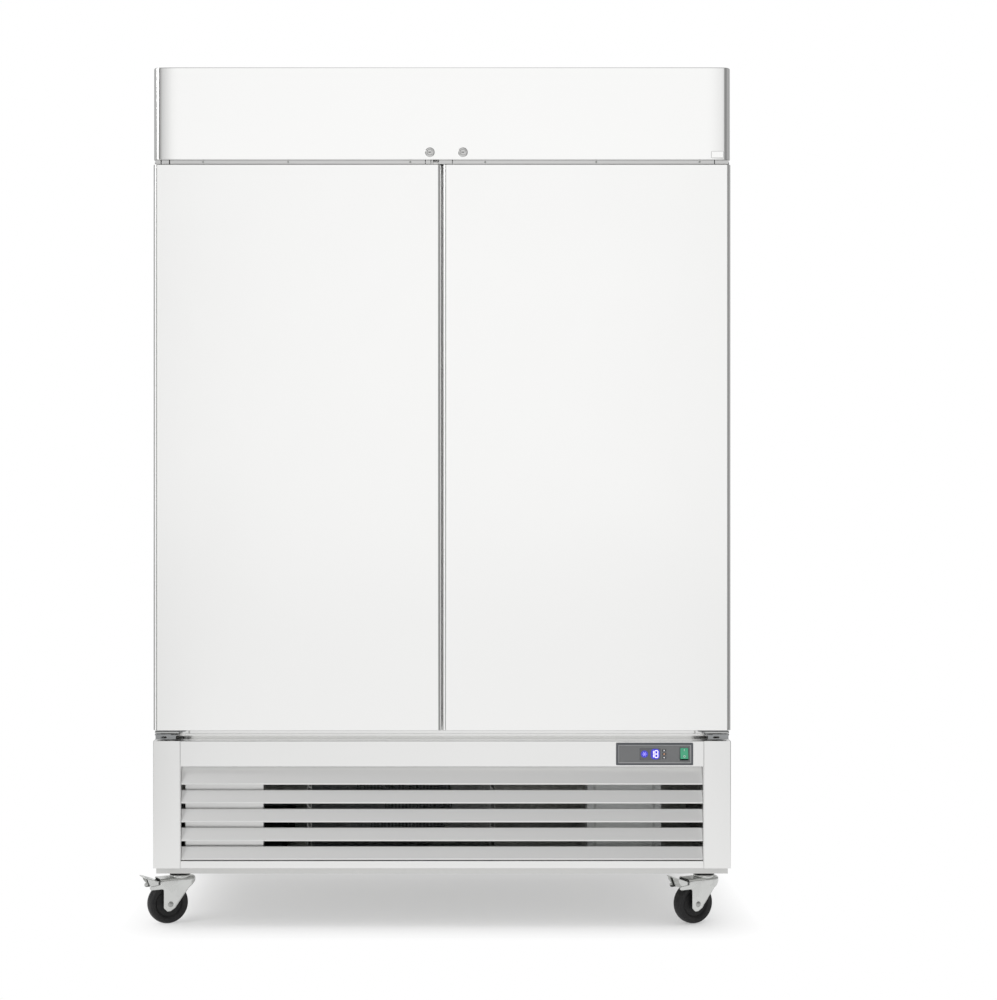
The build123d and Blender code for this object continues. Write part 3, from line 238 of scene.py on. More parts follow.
class Graph:
    """Node tree of a material or a world, with short calls for the nodes that they share."""

    def __init__(self, owner: bpy.types.Material | bpy.types.World) -> None:
        """Start from the owner's own shader.

        Args:
            owner: the material or world that the nodes belong to.
        """
        owner.use_nodes = True
        self.tree = owner.node_tree
        self.shader = next(n for n in self.tree.nodes if n.type in ("BSDF_PRINCIPLED", "BACKGROUND"))
        self.coordinates = self.add("TexCoord").outputs
        self.place = self.coordinates["Object"]

    def add(self, kind: str, inputs: Mapping[int | str, object] | None = None, **settings: object) -> Node:
        """Add a node.

        Args:
            kind: Blender's name of the node, without the ShaderNode before it.
            inputs: outputs or plain values for its inputs, under their number or name.
            settings: properties set on it.

        Returns:
            The new node.
        """
        node = self.tree.nodes.new(f"ShaderNode{kind}")
        for name, value in settings.items():
            setattr(node, name, value)
        for key, value in (inputs or {}).items():
            self.feed(node.inputs[key], value)
        return node

    def feed(self, socket: Socket, value: object) -> None:
        """Link an output to a socket, or set the socket's own value.

        Args:
            socket: the input that is fed.
            value: an output, or a plain value.
        """
        if isinstance(value, Socket):
            self.tree.links.new(value, socket)
        else:
            socket.default_value = value

    def put(self, name: str, value: object) -> None:
        """Link an output to an input of the shader, or set its value."""
        self.feed(self.shader.inputs[name], value)

    def stretch(self, x: float, y: float, z: float) -> Socket:
        """Return the place in the frame, scaled along each axis."""
        return self.add("Mapping", {"Vector": self.place, "Scale": (x, y, z)}).outputs[0]

    def noise(
        self, scale: float, detail: float = 2.0, place: object = None, distortion: float = 0.0
    ) -> Socket:
        """Return a cloudy pattern from 0 to 1: clouds in a metre, finer layers, coordinates and swirl."""
        settings = {"Vector": place or self.place, "Scale": scale, "Detail": detail, "Distortion": distortion}
        return self.add("TexNoise", settings).outputs[0]

    def cells(self, scale: float) -> Node:
        """Return a node of random cells, so many in a metre."""
        return self.add("TexVoronoi", {"Vector": self.place, "Scale": scale})

    def spread(
        self, value: object, low: object, high: object, start: float = 0.0, end: float = 1.0
    ) -> Socket:
        """Return a value moved from the range between start and end to that between low and high."""
        return self.add("MapRange", dict(enumerate((value, start, end, low, high)))).outputs[0]

    def tint(self, factor: object, first: object, second: object) -> Socket:
        """Return a mix of two colours."""
        return self.add("Mix", {0: factor, 6: first, 7: second}, data_type="RGBA").outputs[2]

    def maths(self, operation: str, first: object, second: object) -> Socket:
        """Return two outputs joined by an operation."""
        return self.add("Math", {0: first, 1: second}, operation=operation).outputs[0]

    def weighed(self, first: object, share: float, second: object) -> Socket:
        """Return the sum of two patterns, the first with its share and the second with the rest."""
        rest = self.maths("MULTIPLY", second, 1 - share)
        return self.maths("ADD", self.maths("MULTIPLY", first, share), rest)

    def vector(self, operation: str, *values: object) -> Node:
        """Return a node that works on vectors."""
        return self.add("VectorMath", dict(enumerate(values)), operation=operation)

    def ramp(self, value: object, stops: Section) -> Socket:
        """Turn a value into a grey.

        Args:
            value: the output that the ramp reads.
            stops: place and grey of each stop.

        Returns:
            The grey.
        """
        node = self.add("ValToRGB", {0: value})
        elements = node.color_ramp.elements
        for index, (position, grey) in enumerate(stops):
            stop = elements[index] if index < 2 else elements.new(position)
            stop.position = position
            stop.color = (grey, grey, grey, 1)
        return node.outputs[0]

    def relief(self, height: object, strength: float, depth: float = 0.001) -> None:
        """Give the shader a relief, over any that it already has.

        Args:
            height: pattern that raises the surface.
            strength: how strongly it shows.
            depth: its full height in metres.
        """
        inputs = {"Strength": strength, "Distance": depth, "Height": height}
        normal = self.shader.inputs["Normal"]
        if normal.is_linked:
            inputs["Normal"] = normal.links[0].from_socket
        self.feed(normal, self.add("Bump", inputs).outputs[0])


@dataclass(frozen=True)
class Finish:
    """Surface that one or more pieces share."""

    name: str
    colour: str
    roughness: float = 0.5
    metallic: ClassVar[float] = 0.0

    @cache
    def material(self) -> bpy.types.Material:
        """Make the material of this finish when it is first asked for.

        Returns:
            The material, the same one each time.
        """
        made = bpy.data.materials.new(f"finish_{self.name}")
        graph = Graph(made)
        graph.put("Base Color", linear(self.colour))
        graph.put("Metallic", self.metallic)
        graph.put("Roughness", self.roughness)
        self.dress(graph)
        return made

    def dress(self, graph: Graph) -> None:
        """Add the nodes that make this finish more than one colour."""
        raise NotImplementedError

    def shades(self, graph: Graph, pattern: object, low: float, high: float) -> None:
        """Let the colour run from a darker to a lighter shade along a pattern."""
        base = linear(self.colour)
        graph.put("Base Color", graph.tint(pattern, shade(base, low), shade(base, high)))

    def sheen(self, graph: Graph, pattern: object, less: float, more: float, *reach: float) -> None:
        """Let the roughness run round its own value along a pattern, or along a reach of it."""
        rough = self.roughness
        graph.put("Roughness", graph.spread(pattern, rough - less, rough + more, *reach))


@dataclass(frozen=True)
class BrushedSteel(Finish):
    """Stainless sheet with a fine grain along one axis and slow, faint stains."""

    grain: Axis = Axis.Z
    contrast: float = 0.05
    metallic: ClassVar[float] = 1.0

    def dress(self, graph: Graph) -> None:
        """Lay the grain, the stains and the slight waviness of thin sheet.

        Args:
            graph: node tree of the material.
        """
        fine, slow = 1600.0, 6.0
        grain = [fine, fine, fine]
        grain[self.grain.value] = slow
        lines = graph.noise(1.0, 3.0, graph.stretch(*grain))
        mixed = graph.weighed(lines, 0.6, graph.noise(2.2, 3.0, distortion=0.6))
        self.shades(graph, mixed, 1 - self.contrast, 1 + self.contrast)
        self.sheen(graph, mixed, -0.2 * self.roughness, -0.2 * self.roughness)
        graph.relief(lines, self.roughness * 0.12, 0.0002)
        graph.relief(graph.noise(1.1, 1.0), 0.003, 0.02)


@dataclass(frozen=True)
class ZincCoat(Finish):
    """Zinc on steel, with crystals of a chosen size."""

    crystals: float = 55.0
    contrast: float = 0.12
    metallic: ClassVar[float] = 1.0

    def dress(self, graph: Graph) -> None:
        """Lay the crystals, each a little lighter or darker, and a thin haze.

        Args:
            graph: node tree of the material.
        """
        tone = graph.add("SeparateColor", {0: graph.cells(self.crystals).outputs["Color"]})
        mixed = graph.weighed(tone.outputs[0], 0.55, graph.noise(18.0, 4.0))
        self.shades(graph, mixed, 1 - self.contrast, 1 + self.contrast)
        self.sheen(graph, mixed, 0.08, 0.1)
        graph.relief(graph.noise(160.0, 2.0), 0.5 * self.contrast, 0.0002)


@dataclass(frozen=True)
class PolishedMetal(Finish):
    """Turned or plated metal with fine scratches and dulled spots."""

    scratches: float = 700.0
    metallic: ClassVar[float] = 1.0

    def dress(self, graph: Graph) -> None:
        """Lay fine scratches in two directions and slow dull spots.

        Args:
            graph: node tree of the material.
        """
        first = graph.noise(1.0, 3.0, graph.stretch(self.scratches, 30.0, self.scratches))
        second = graph.noise(1.0, 3.0, graph.stretch(40.0, self.scratches, 60.0))
        dull = graph.noise(60.0, 4.0)
        self.shades(graph, dull, 0.9, 1.05)
        worn = graph.maths("ADD", graph.maths("MULTIPLY", first, second), dull)
        self.sheen(graph, worn, 0.06, 0.12, 0.3, 1.1)
        graph.relief(first, 0.04, 0.0002)


@dataclass(frozen=True)
class MouldedPlastic(Finish):
    """Moulded plastic or cured paint with a fine spark-eroded or orange-peel skin."""

    skin: float = 1200.0
    skin_strength: float = 0.12
    coat: float = 0.0

    def dress(self, graph: Graph) -> None:
        """Lay the skin, a slow change of tone and handling marks.

        Args:
            graph: node tree of the material.
        """
        marks = graph.noise(35.0, 5.0, distortion=0.8)
        self.shades(graph, marks, 0.92, 1.07)
        self.sheen(graph, marks, 0.07, 0.09, 0.25, 0.75)
        graph.put("Coat Weight", self.coat)
        graph.put("Coat Roughness", 0.12)
        graph.relief(graph.noise(self.skin, 2.0), self.skin_strength, 0.0002)


@dataclass(frozen=True)
class Elastomer(Finish):
    """Rubber or soft seal, dull, with dust in its pores."""

    dust: str = "8a8780"
    dusty: float = 0.12

    def dress(self, graph: Graph) -> None:
        """Lay dust and a pored skin.

        Args:
            graph: node tree of the material.
        """
        dust = graph.noise(45.0, 6.0, distortion=1.0)
        amount = graph.spread(dust, 0.0, self.dusty, 0.45, 0.8)
        graph.put("Base Color", graph.tint(amount, linear(self.colour), linear(self.dust)))
        self.sheen(graph, dust, 0.05, 0.15)
        graph.put("Specular IOR Level", 0.35)
        graph.relief(graph.noise(900.0, 3.0), 0.2, 0.0003)


@dataclass(frozen=True)
class StuccoAluminium(Finish):
    """Thin aluminium sheet with an embossed stucco pattern, as compartment walls have."""

    pattern: float = 95.0
    metallic: ClassVar[float] = 1.0

    def dress(self, graph: Graph) -> None:
        """Lay the embossed pattern and a faint haze.

        Args:
            graph: node tree of the material.
        """
        haze = graph.noise(6.0, 4.0)
        self.shades(graph, haze, 0.94, 1.04)
        self.sheen(graph, haze, 0.05, 0.08)
        graph.relief(graph.noise(self.pattern, 0.5, distortion=1.2), 0.5, 0.0012)


@dataclass(frozen=True)
class RigidFoam(Finish):
    """Cut or cast rigid foam with open pores."""

    pores: float = 450.0

    def dress(self, graph: Graph) -> None:
        """Lay pores and a slow change from pale to straw.

        Args:
            graph: node tree of the material.
        """
        tone = graph.noise(14.0, 4.0)
        self.shades(graph, tone, 0.85, 1.05)
        self.sheen(graph, tone, 0.1, 0.05)
        graph.relief(graph.cells(self.pores).outputs["Distance"], 0.5, 0.0008)


@dataclass(frozen=True)
class LitDisplay(Finish):
    """Light from behind a smoked window, with a little unevenness."""

    glow: float = 3.0

    def dress(self, graph: Graph) -> None:
        """Lay the light.

        Args:
            graph: node tree of the material.
        """
        wave = graph.noise(300.0, 1.0)
        base = linear(self.colour)
        graph.put("Emission Color", graph.tint(wave, shade(base, 0.85), base))
        graph.put("Emission Strength", self.glow)
        self.sheen(graph, wave, 0.0, 0.1)


class Rack:
    """Every finish of the refrigerator, each under one plain name."""

    door_steel = BrushedSteel("door_steel", "fafaf9", 0.18, Axis.Z, 0.015)
    header_steel = BrushedSteel("header_steel", "fafaf9", 0.12, Axis.X, 0.012)
    hem_steel = BrushedSteel("hem_steel", "d6d6d5", 0.3, Axis.X, 0.03)
    post_steel = BrushedSteel("post_steel", "f0f0ef", 0.2, Axis.Z, 0.02)
    grille_steel = BrushedSteel("grille_steel", "f1f1f0", 0.22, Axis.X, 0.02)
    louvre_steel = BrushedSteel("louvre_steel", "ebebea", 0.4, Axis.X, 0.012)
    seam_shadow = BrushedSteel("seam_shadow", "8f8f8e", 0.45, Axis.X, 0.03)
    body_steel = BrushedSteel("body_steel", "dcdcda", 0.4, Axis.Z, 0.04)
    galvanised = ZincCoat("galvanised", "dadad7", 0.42, 62.0, 0.16)
    tray_zinc = ZincCoat("tray_zinc", "dadad8", 0.4, 90.0, 0.05)
    hinge_zinc = ZincCoat("hinge_zinc", "a9abac", 0.34, 240.0, 0.08)
    caster_zinc = ZincCoat("caster_zinc", "d8d9d7", 0.24, 40.0, 0.02)
    bolt_zinc = PolishedMetal("bolt_zinc", "b7b8b6", 0.33)
    lock_chrome = PolishedMetal("lock_chrome", "d2d2d1", 0.2)
    fin_aluminium = PolishedMetal("fin_aluminium", "cdd0d2", 0.38, 300.0)
    cover_aluminium = BrushedSteel("cover_aluminium", "dfe1e2", 0.38, Axis.X, 0.03)
    clip_zinc = PolishedMetal("clip_zinc", "c4c5c4", 0.3)
    fan_chrome = PolishedMetal("fan_chrome", "cfd0d1", 0.22)
    liner_aluminium = StuccoAluminium("liner_aluminium", "e2e4e5", 0.36)
    door_liner = StuccoAluminium("door_liner", "e6e7e8", 0.34, 60.0)
    gasket = Elastomer("gasket", "8d8f90", 0.55, "b5b3ac", 0.2)
    nylon = MouldedPlastic("nylon", "e8e6df", 0.4)
    bezel = MouldedPlastic("bezel", "55575b", 0.42, 900.0, 0.15)
    bezel_face = MouldedPlastic("bezel_face", "707172", 0.36, 1400.0, 0.08)
    # Lighter grey on the rim's inner bevel: a painted highlight.
    bezel_bevel = MouldedPlastic("bezel_bevel", "9a9b9c", 0.32, 900.0, 0.08)
    display = MouldedPlastic("display", "58585d", 0.2, 300.0, 0.01, 0.4)
    segments = LitDisplay("segments", "c3bdf7", 0.3, 1.6)
    faint_mark = LitDisplay("faint_mark", "9a8ff0", 0.3, 0.8)
    halo = LitDisplay("halo", "3534a4", 0.3, 0.75)
    key_mark = MouldedPlastic("key_mark", "e9ebee", 0.5)
    key_amber = MouldedPlastic("key_amber", "cf9a78", 0.5)
    key_grey = MouldedPlastic("key_grey", "44464b", 0.45, 1500.0, 0.1)
    rocker = MouldedPlastic("rocker", "3aa37a", 0.28, 600.0, 0.04, 0.5)
    wire = MouldedPlastic("wire", "eceeec", 0.33, 500.0, 0.06, 0.3)
    fan_black = MouldedPlastic("fan_black", "26282a", 0.45)
    motor_grey = MouldedPlastic("motor_grey", "6f7376", 0.45, 500.0, 0.15)
    compressor_enamel = MouldedPlastic("compressor_enamel", "1c1d1f", 0.3, 260.0, 0.12, 0.4)
    box_enamel = MouldedPlastic("box_enamel", "d9dbda", 0.4, 420.0, 0.12)
    tray_plastic = MouldedPlastic("tray_plastic", "303235", 0.5)
    cable_grey = MouldedPlastic("cable_grey", "55585a", 0.5, 700.0, 0.1)
    copper = PolishedMetal("copper", "d08a62", 0.3, 500.0)
    wheel_rubber = Elastomer("wheel_rubber", "1d1d1e", 0.5, "6f6c66", 0.1)
    grommet = Elastomer("grommet", "232323", 0.6)
    foam = RigidFoam("foam", "e6d9ae", 0.9)
    # Near-black sheet behind the keyway, standing in for its shade: painted shade.
    dark_gap = MouldedPlastic("dark_gap", "1a1a1b", 0.7)


class Workpiece:
    """Mesh of one piece while it is made, in millimetres of the shared frame."""

    def __init__(self, name: str, finish: Finish, place: Matrix | None = None) -> None:
        """Start an empty piece.

        Args:
            name: name that the piece gets.
            finish: finish of the faces made first.
            place: where its own millimetres lie in the frame, or None where they are the frame's.
        """
        self.name = name
        self.mesh = bmesh.new()
        self.finishes = [finish]
        self.index = 0
        self.place = place or Matrix.Identity(4)

    def use(self, finish: Finish) -> None:
        """Give the faces made from here on another finish.

        Args:
            finish: the finish.
        """
        if finish not in self.finishes:
            self.finishes.append(finish)
        self.index = self.finishes.index(finish)

    def corners(self, points: Iterable[Vector | Spot]) -> list[bmesh.types.BMVert]:
        """Add points and return their vertices."""
        return [self.mesh.verts.new(self.place @ Vector(p)) for p in points]

    def face(self, vertices: Sequence[bmesh.types.BMVert]) -> None:
        """Add one face.

        Args:
            vertices: its corners in order.
        """
        made = self.mesh.faces.new(vertices)
        made.material_index = self.index
        made.smooth = True

    def cap(self, points: Iterable[Vector | Spot]) -> None:
        """Add one face over new points."""
        self.face(self.corners(points))

    def grid(self, rows: Sequence[Sequence[Vector | Spot]], closed: bool = False, ring: bool = False) -> None:
        """Add a skin over rows of points.

        Args:
            rows: rows with the same number of points.
            closed: whether each row joins its last point to its first.
            ring: whether the last row joins the first.
        """
        made = [self.corners(row) for row in rows]
        count = len(made[0])
        for i in range(len(made) if ring else len(made) - 1):
            a, b = made[i], made[(i + 1) % len(made)]
            for j in range(count if closed else count - 1):
                k = (j + 1) % count
                self.face((a[j], a[k], b[k], b[j]))

    def prism(
        self, section: Section, axis: Axis, start: float, end: float, holes: Sequence[Section] = ()
    ) -> None:
        """Add a section drawn out along an axis.

        Args:
            section: its outline.
            axis: the direction.
            start: where it begins.
            end: where it ends.
            holes: outlines cut through it.
        """
        loops = [list(section), *[list(h) for h in holes]]
        low = self.corners(axis.at(a, b, start) for loop in loops for a, b in loop)
        high = self.corners(axis.at(a, b, end) for loop in loops for a, b in loop)
        if holes:
            for a, b, c in tessellate_polygon([[Vector((*p, 0)) for p in loop] for loop in loops]):
                self.face((low[a], low[b], low[c]))
                self.face((high[c], high[b], high[a]))
        else:
            self.face(low)
            self.face(high[::-1])
        first = 0
        for loop in loops:
            count = len(loop)
            for i in range(count):
                j = (i + 1) % count
                self.face((low[first + j], low[first + i], high[first + i], high[first + j]))
            first += count

    def block(self, x0: float, x1: float, y0: float, y1: float, z0: float, z1: float) -> None:
        """Add a square block between two corners."""
        self.prism(rectangle(x0, x1, y0, y1), Axis.Z, z0, z1)

    def sheet(self, outline: Section, z: float, holes: Sequence[Section]) -> None:
        """Add a level open face that looks up.

        Args:
            outline: its edge.
            z: its height.
            holes: outlines cut through it.
        """
        loops = [[Vector((a, b, z)) for a, b in loop] for loop in (outline, *holes)]
        made = self.corners(p for loop in loops for p in loop)
        for corner in tessellate_polygon(loops):
            a, b, c = (made[i] for i in corner)
            up = (b.co - a.co).cross(c.co - a.co).z > 0
            self.face((a, b, c) if up else (c, b, a))

    def turned(
        self, profile: Section, centre: Spot, along: Spot, steps: int = 40, start: float = 0.0
    ) -> None:
        """Add a shape turned about an axis.

        Args:
            profile: pairs of radius and distance along the axis.
            centre: where the axis starts.
            along: direction of the axis.
            steps: sides of the turned shape.
            start: angle of its first side.
        """
        w = Vector(along).normalized()
        u = w.orthogonal().normalized()
        v = w.cross(u)
        origin = Vector(centre)
        rows = []
        for i in range(steps):
            angle = start + 2 * math.pi * i / steps
            out = u * math.cos(angle) + v * math.sin(angle)
            rows.append([origin + out * r + w * h for r, h in profile])
        self.grid(rows, ring=True)

    def tube(
        self, points: Sequence[Vector | Spot], radius: float, steps: int = 10, closed: bool = False
    ) -> None:
        """Add a round rod along a line of points.

        Args:
            points: the line.
            radius: the rod's radius.
            steps: sides of the rod.
            closed: whether the line is a ring.
        """
        line = [Vector(p) for p in points]
        count = len(line)
        side = None
        rows = []
        for i, here in enumerate(line):
            before = line[i - 1] if closed or i else here
            after = line[(i + 1) % count] if closed or i < count - 1 else here
            w = (after - before).normalized()
            side = w.orthogonal().normalized() if side is None else (side - w * side.dot(w)).normalized()
            other = w.cross(side)
            turns = [2 * math.pi * k / steps for k in range(steps)]
            rows.append([here + (side * math.cos(t) + other * math.sin(t)) * radius for t in turns])
        self.grid(rows, closed=True, ring=closed)
        if not closed:
            self.cap(rows[0][::-1])
            self.cap(rows[-1])

    def screw(self, centre: Spot, out: Spot, radius: float = 4.0, height: float = 2.2) -> None:
        """Add a domed screw head with a recess.

        Args:
            centre: middle of the face it sits on.
            out: direction that the head stands out in.
            radius: radius of the head.
            height: height of the head.
        """
        r, h = radius, height
        dome = [(0.0, 0.45 * h), (0.36 * r, 0.5 * h), (0.42 * r, h), (0.62 * r, 0.96 * h)]
        self.turned(dome + [(0.86 * r, 0.72 * h), (r, 0.25 * h), (r, -0.2)], centre, out, 16)

    def hexagon(self, centre: Spot, out: Spot, radius: float, height: float, start: float = 0.0) -> None:
        """Add a hexagon head or nut with chamfered corners.

        Args:
            centre: middle of the face it sits on.
            out: direction that it stands out in.
            radius: radius to its corners.
            height: its height.
            start: angle of its first corner.
        """
        profile = [(radius, 0), (radius, 0.82 * height), (0.84 * radius, height), (0, height)]
        self.turned(profile, centre, out, 6, start)

    def done(
        self,
        body: str,
        slot: str,
        *nodes: str,
        edge: float = 0.0,
        segments: int = 2,
        sharp: float = 35.0,
        wall: float = 0.0,
    ) -> None:
        """Turn the mesh into a finished object of the scene.

        Args:
            body: body that the piece rides on.
            slot: not used.
            nodes: nodes that it stands for.
            edge: radius broken on its sharp edges.
            segments: steps of that radius.
            sharp: angle in degrees from which an edge counts as sharp.
            wall: thickness given to an open skin, inwards.
        """
        bmesh.ops.remove_doubles(self.mesh, verts=self.mesh.verts, dist=0.0005)
        if not wall:
            bmesh.ops.recalc_face_normals(self.mesh, faces=self.mesh.faces)
        for vertex in self.mesh.verts:
            vertex.co *= MM
        data = bpy.data.meshes.new(self.name)
        self.mesh.to_mesh(data)
        self.mesh.free()
        data.set_sharp_from_angle(angle=math.radians(sharp))
        for finish in self.finishes:
            data.materials.append(finish.material())
        piece = bpy.data.objects.new(self.name, data)
        bpy.context.scene.collection.objects.link(piece)
        if wall:
            sheet = piece.modifiers.new("sheet", "SOLIDIFY")
            sheet.thickness = wall * MM
            sheet.offset = -1.0
        if edge:
            broken = piece.modifiers.new("edge", "BEVEL")
            broken.width = edge * MM
            broken.segments = segments
            broken.limit_method = "ANGLE"
            broken.angle_limit = math.radians(sharp)
            broken.harden_normals = True
        piece.modifiers.new("even_shading", "WEIGHTED_NORMAL").keep_sharp = True
        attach(piece, body)
        if nodes:
            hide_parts(*nodes)
        LOG.info("%s: %d faces on %s", self.name, len(data.polygons), body)


def pressed_pan(
    piece: Workpiece,
    plan: Section,
    low: float,
    high: float,
    bend: float,
    returns: float,
    bottom: bool = True,
    holes: Sequence[Section] = (),
) -> None:
    """Add an open-backed pan: upright skin round a plan, bent over at its top and bottom.

    Args:
        piece: the piece that gets the pan.
        plan: outer face seen from above, its inside on the left.
        low: height of the bottom face.
        high: height of the top face.
        bend: radius of both bends.
        returns: depth of the bent-over edges, measured inwards, before flat plates close them.
        bottom: whether a flat plate closes the bottom.
        holes: outlines cut through the top.
    """
    turns = [math.pi / 10 * k for k in range(6)]
    quarter = [(bend * (1 - math.sin(t)), bend * (1 - math.cos(t))) for t in turns]
    profile = [(returns, low)] + [(inset, low + rise) for inset, rise in quarter]
    profile += [(rise, high - inset) for inset, rise in quarter] + [(returns, high)]
    piece.grid([[(x, y, z) for x, y in shifted(plan, inset)] for inset, z in profile])
    inner = shifted(plan, returns)
    piece.sheet(inner, high, holes)
    if bottom:
        piece.cap((x, y, low) for x, y in inner[::-1])


# Sub-assemblies of the front


@dataclass
class Header:
    """Plain fascia over the doors, with rounded ends, a lip below and a small bare plate."""

    half_width: float = HALF_WIDTH
    front: float = FRONT
    back: float = STILE
    low: float = 1847.0
    high: float = 2068.0
    radius: float = 18.0
    ease: float = 0.05
    ease_run: float = 43.0
    bend: float = 2.6
    hem_front: float = -408.4
    hem_low: float = 1837.0
    hem_runs: tuple[Point, ...] = (
        (-684, -672), (-669.5, -652), (-649.5, -40.5), (-38.5, -27.5),
        (-25.5, -22), (-7, 24), (26, 650), (652, 684),
    )
    hem_screws: tuple[float, ...] = (-571.0, -368.0, -76.0, 103.0, 368.0, 615.0)
    flange_back: float = -315.0
    lip_back: float = -350.0
    plate: Sides = (657.5, 1859.4, 14.0, 7.6)

    def plan(self) -> list[Point]:
        """Draw the outer face seen from above, each end easing into its round corner.

        Returns:
            Its points from left to right.
        """
        w, r, f = self.half_width, self.radius, self.front
        lean, run = self.ease, self.ease_run
        drop = run * math.tan(lean) / 2
        turns = [lean + (math.pi / 2 - lean) * k / 12 for k in range(13)]
        start_x, start_y = w - r + r * math.sin(lean), f + drop
        arc = [(w - r + r * math.sin(t), start_y + r * (math.cos(lean) - math.cos(t))) for t in turns]
        easing = [(start_x - run * (1 - k / 8), f + drop * (k / 8) ** 2) for k in range(8)]
        half = [*easing, *arc, (w, self.back)]
        return [(-x, y) for x, y in half[::-1]] + half

    def make_shell(self) -> None:
        """Build the fascia, its top plate, flange and bottom lip."""
        shell = Workpiece("header_fascia", Rack.header_steel)
        pressed_pan(shell, self.plan(), self.low, self.high, self.bend, 3.0, False)
        w = self.half_width
        lip = [p for p in shifted(self.plan(), 3.0) if p[1] <= self.lip_back]
        lip = [(-w + 3, self.lip_back), *lip, (w - 3, self.lip_back)]
        shell.cap((x, y, self.low) for x, y in lip[::-1])
        shell.cap((x, y, self.high - 0.02) for x, y in rectangle(-w, w, self.back, self.flange_back))
        shell.done("cabinet", "stainless_front", "header_panel", wall=1.0)

    def make_details(self) -> None:
        """Build the hem that hangs behind the lip, its screws and the bare plate."""
        y = self.hem_front
        hem = Workpiece("header_hem", Rack.hem_steel)
        path = [(y + 17, self.low - 0.3), (y, self.low - 0.3), (y, self.hem_low), (y + 9, self.hem_low)]
        for start, end in self.hem_runs:
            hem.prism(folded(path, 1.0, 1.2, 3), Axis.X, start, end)
        hem.done("cabinet", "stainless_front", sharp=50)
        screws = Workpiece("header_hem_screws", Rack.bolt_zinc)
        for x in self.hem_screws:
            screws.screw((x, y, (self.low + self.hem_low) / 2), FORWARD, 2.6, 1.3)
        screws.done("cabinet", "zinc_steel")
        plate = Workpiece("header_bare_plate", Rack.header_steel)
        x, z, half_x, half_z = self.plate
        edge = centred(x, z, half_x, half_z, 1.5)
        rim = centred(x, z, half_x + 0.7, half_z + 0.7, 2.2)
        plate.prism(edge, Axis.Y, self.front - 0.3, self.front + 0.2)
        plate.use(Rack.seam_shadow)
        plate.prism(rim, Axis.Y, self.front - 0.12, self.front + 0.2, [edge])
        plate.done("cabinet", "stainless_front")

    def build(self) -> None:
        """Build the header."""
        self.make_shell()
        self.make_details()


@dataclass
class HeaderLock:
    """Key lock: ring and barrel in the header, and a plug that turns with its cam."""

    side: Side
    x: float
    z: float = 1865.0
    front: float = FRONT
    ring_radius: float = 11.5
    plug_radius: float = 6.7
    cam: Point = (-5.0, 36.0)
    keyway: tuple[Point, ...] = (
        (-3.6, -0.9), (-1.1, -0.9), (0, -1.5), (1.1, -0.9), (3.6, -0.9), (3.6, 0.7), (-3.6, 0.7),
    )

    def build(self) -> None:
        """Build the housing and the plug."""
        r, p = self.ring_radius, self.plug_radius
        housing = Workpiece(f"{self.side}_lock_housing", Rack.lock_chrome)
        bore = p + 0.05
        rim = [(bore, 22.0), (bore, -1.6), (p + 0.3, -2.35), (p + 0.7, -2.5)]
        rim += [(r - 2.4, -2.5), (r - 2.0, -2.35), (r - 0.4, -0.75), (r, -0.3), (r, 0.0)]
        rim += [(8.0, 0.0), (8.0, 22.0), (bore, 22.0)]
        housing.turned(rim, (self.x, self.front, self.z), BACKWARD, 48)
        nodes = ["lock_housings"] if self.side is Side.LEFT else []
        housing.done("cabinet", "chrome_lock", *nodes, sharp=50)
        self.make_plug()

    def make_plug(self) -> None:
        """Build the plug with its keyway, and the cam behind it."""
        p, y = self.plug_radius, self.front
        plug = Workpiece(f"{self.side}_lock_key_plug", Rack.lock_chrome)
        keyway = [(self.x + a, self.z + b) for a, b in self.keyway]
        plug.prism(circle(self.x, self.z, p - 0.6, 40), Axis.Y, y - 2.2, y - 1.9, [keyway])
        plug.turned([(p - 0.6, -2.2), (p, -1.7), (p, 22.0), (0, 22.0)], (self.x, y, self.z), BACKWARD, 40)
        # A near-black sheet behind the keyway stands in for the shade inside it: painted shade.
        plug.use(Rack.dark_gap)
        plug.prism(keyway, Axis.Y, y - 1.8, y - 1.6)
        plug.use(Rack.lock_chrome)
        x0, x1 = sorted(self.x + self.side.value * reach for reach in self.cam)
        plug.prism(rectangle(x0, x1, self.z - 5, self.z + 5, 4.9), Axis.Y, y + 22.3, y + 26.0)
        plug.done(f"{self.side}_lock", "chrome_lock", f"{self.side}_lock_plug", edge=0.3)


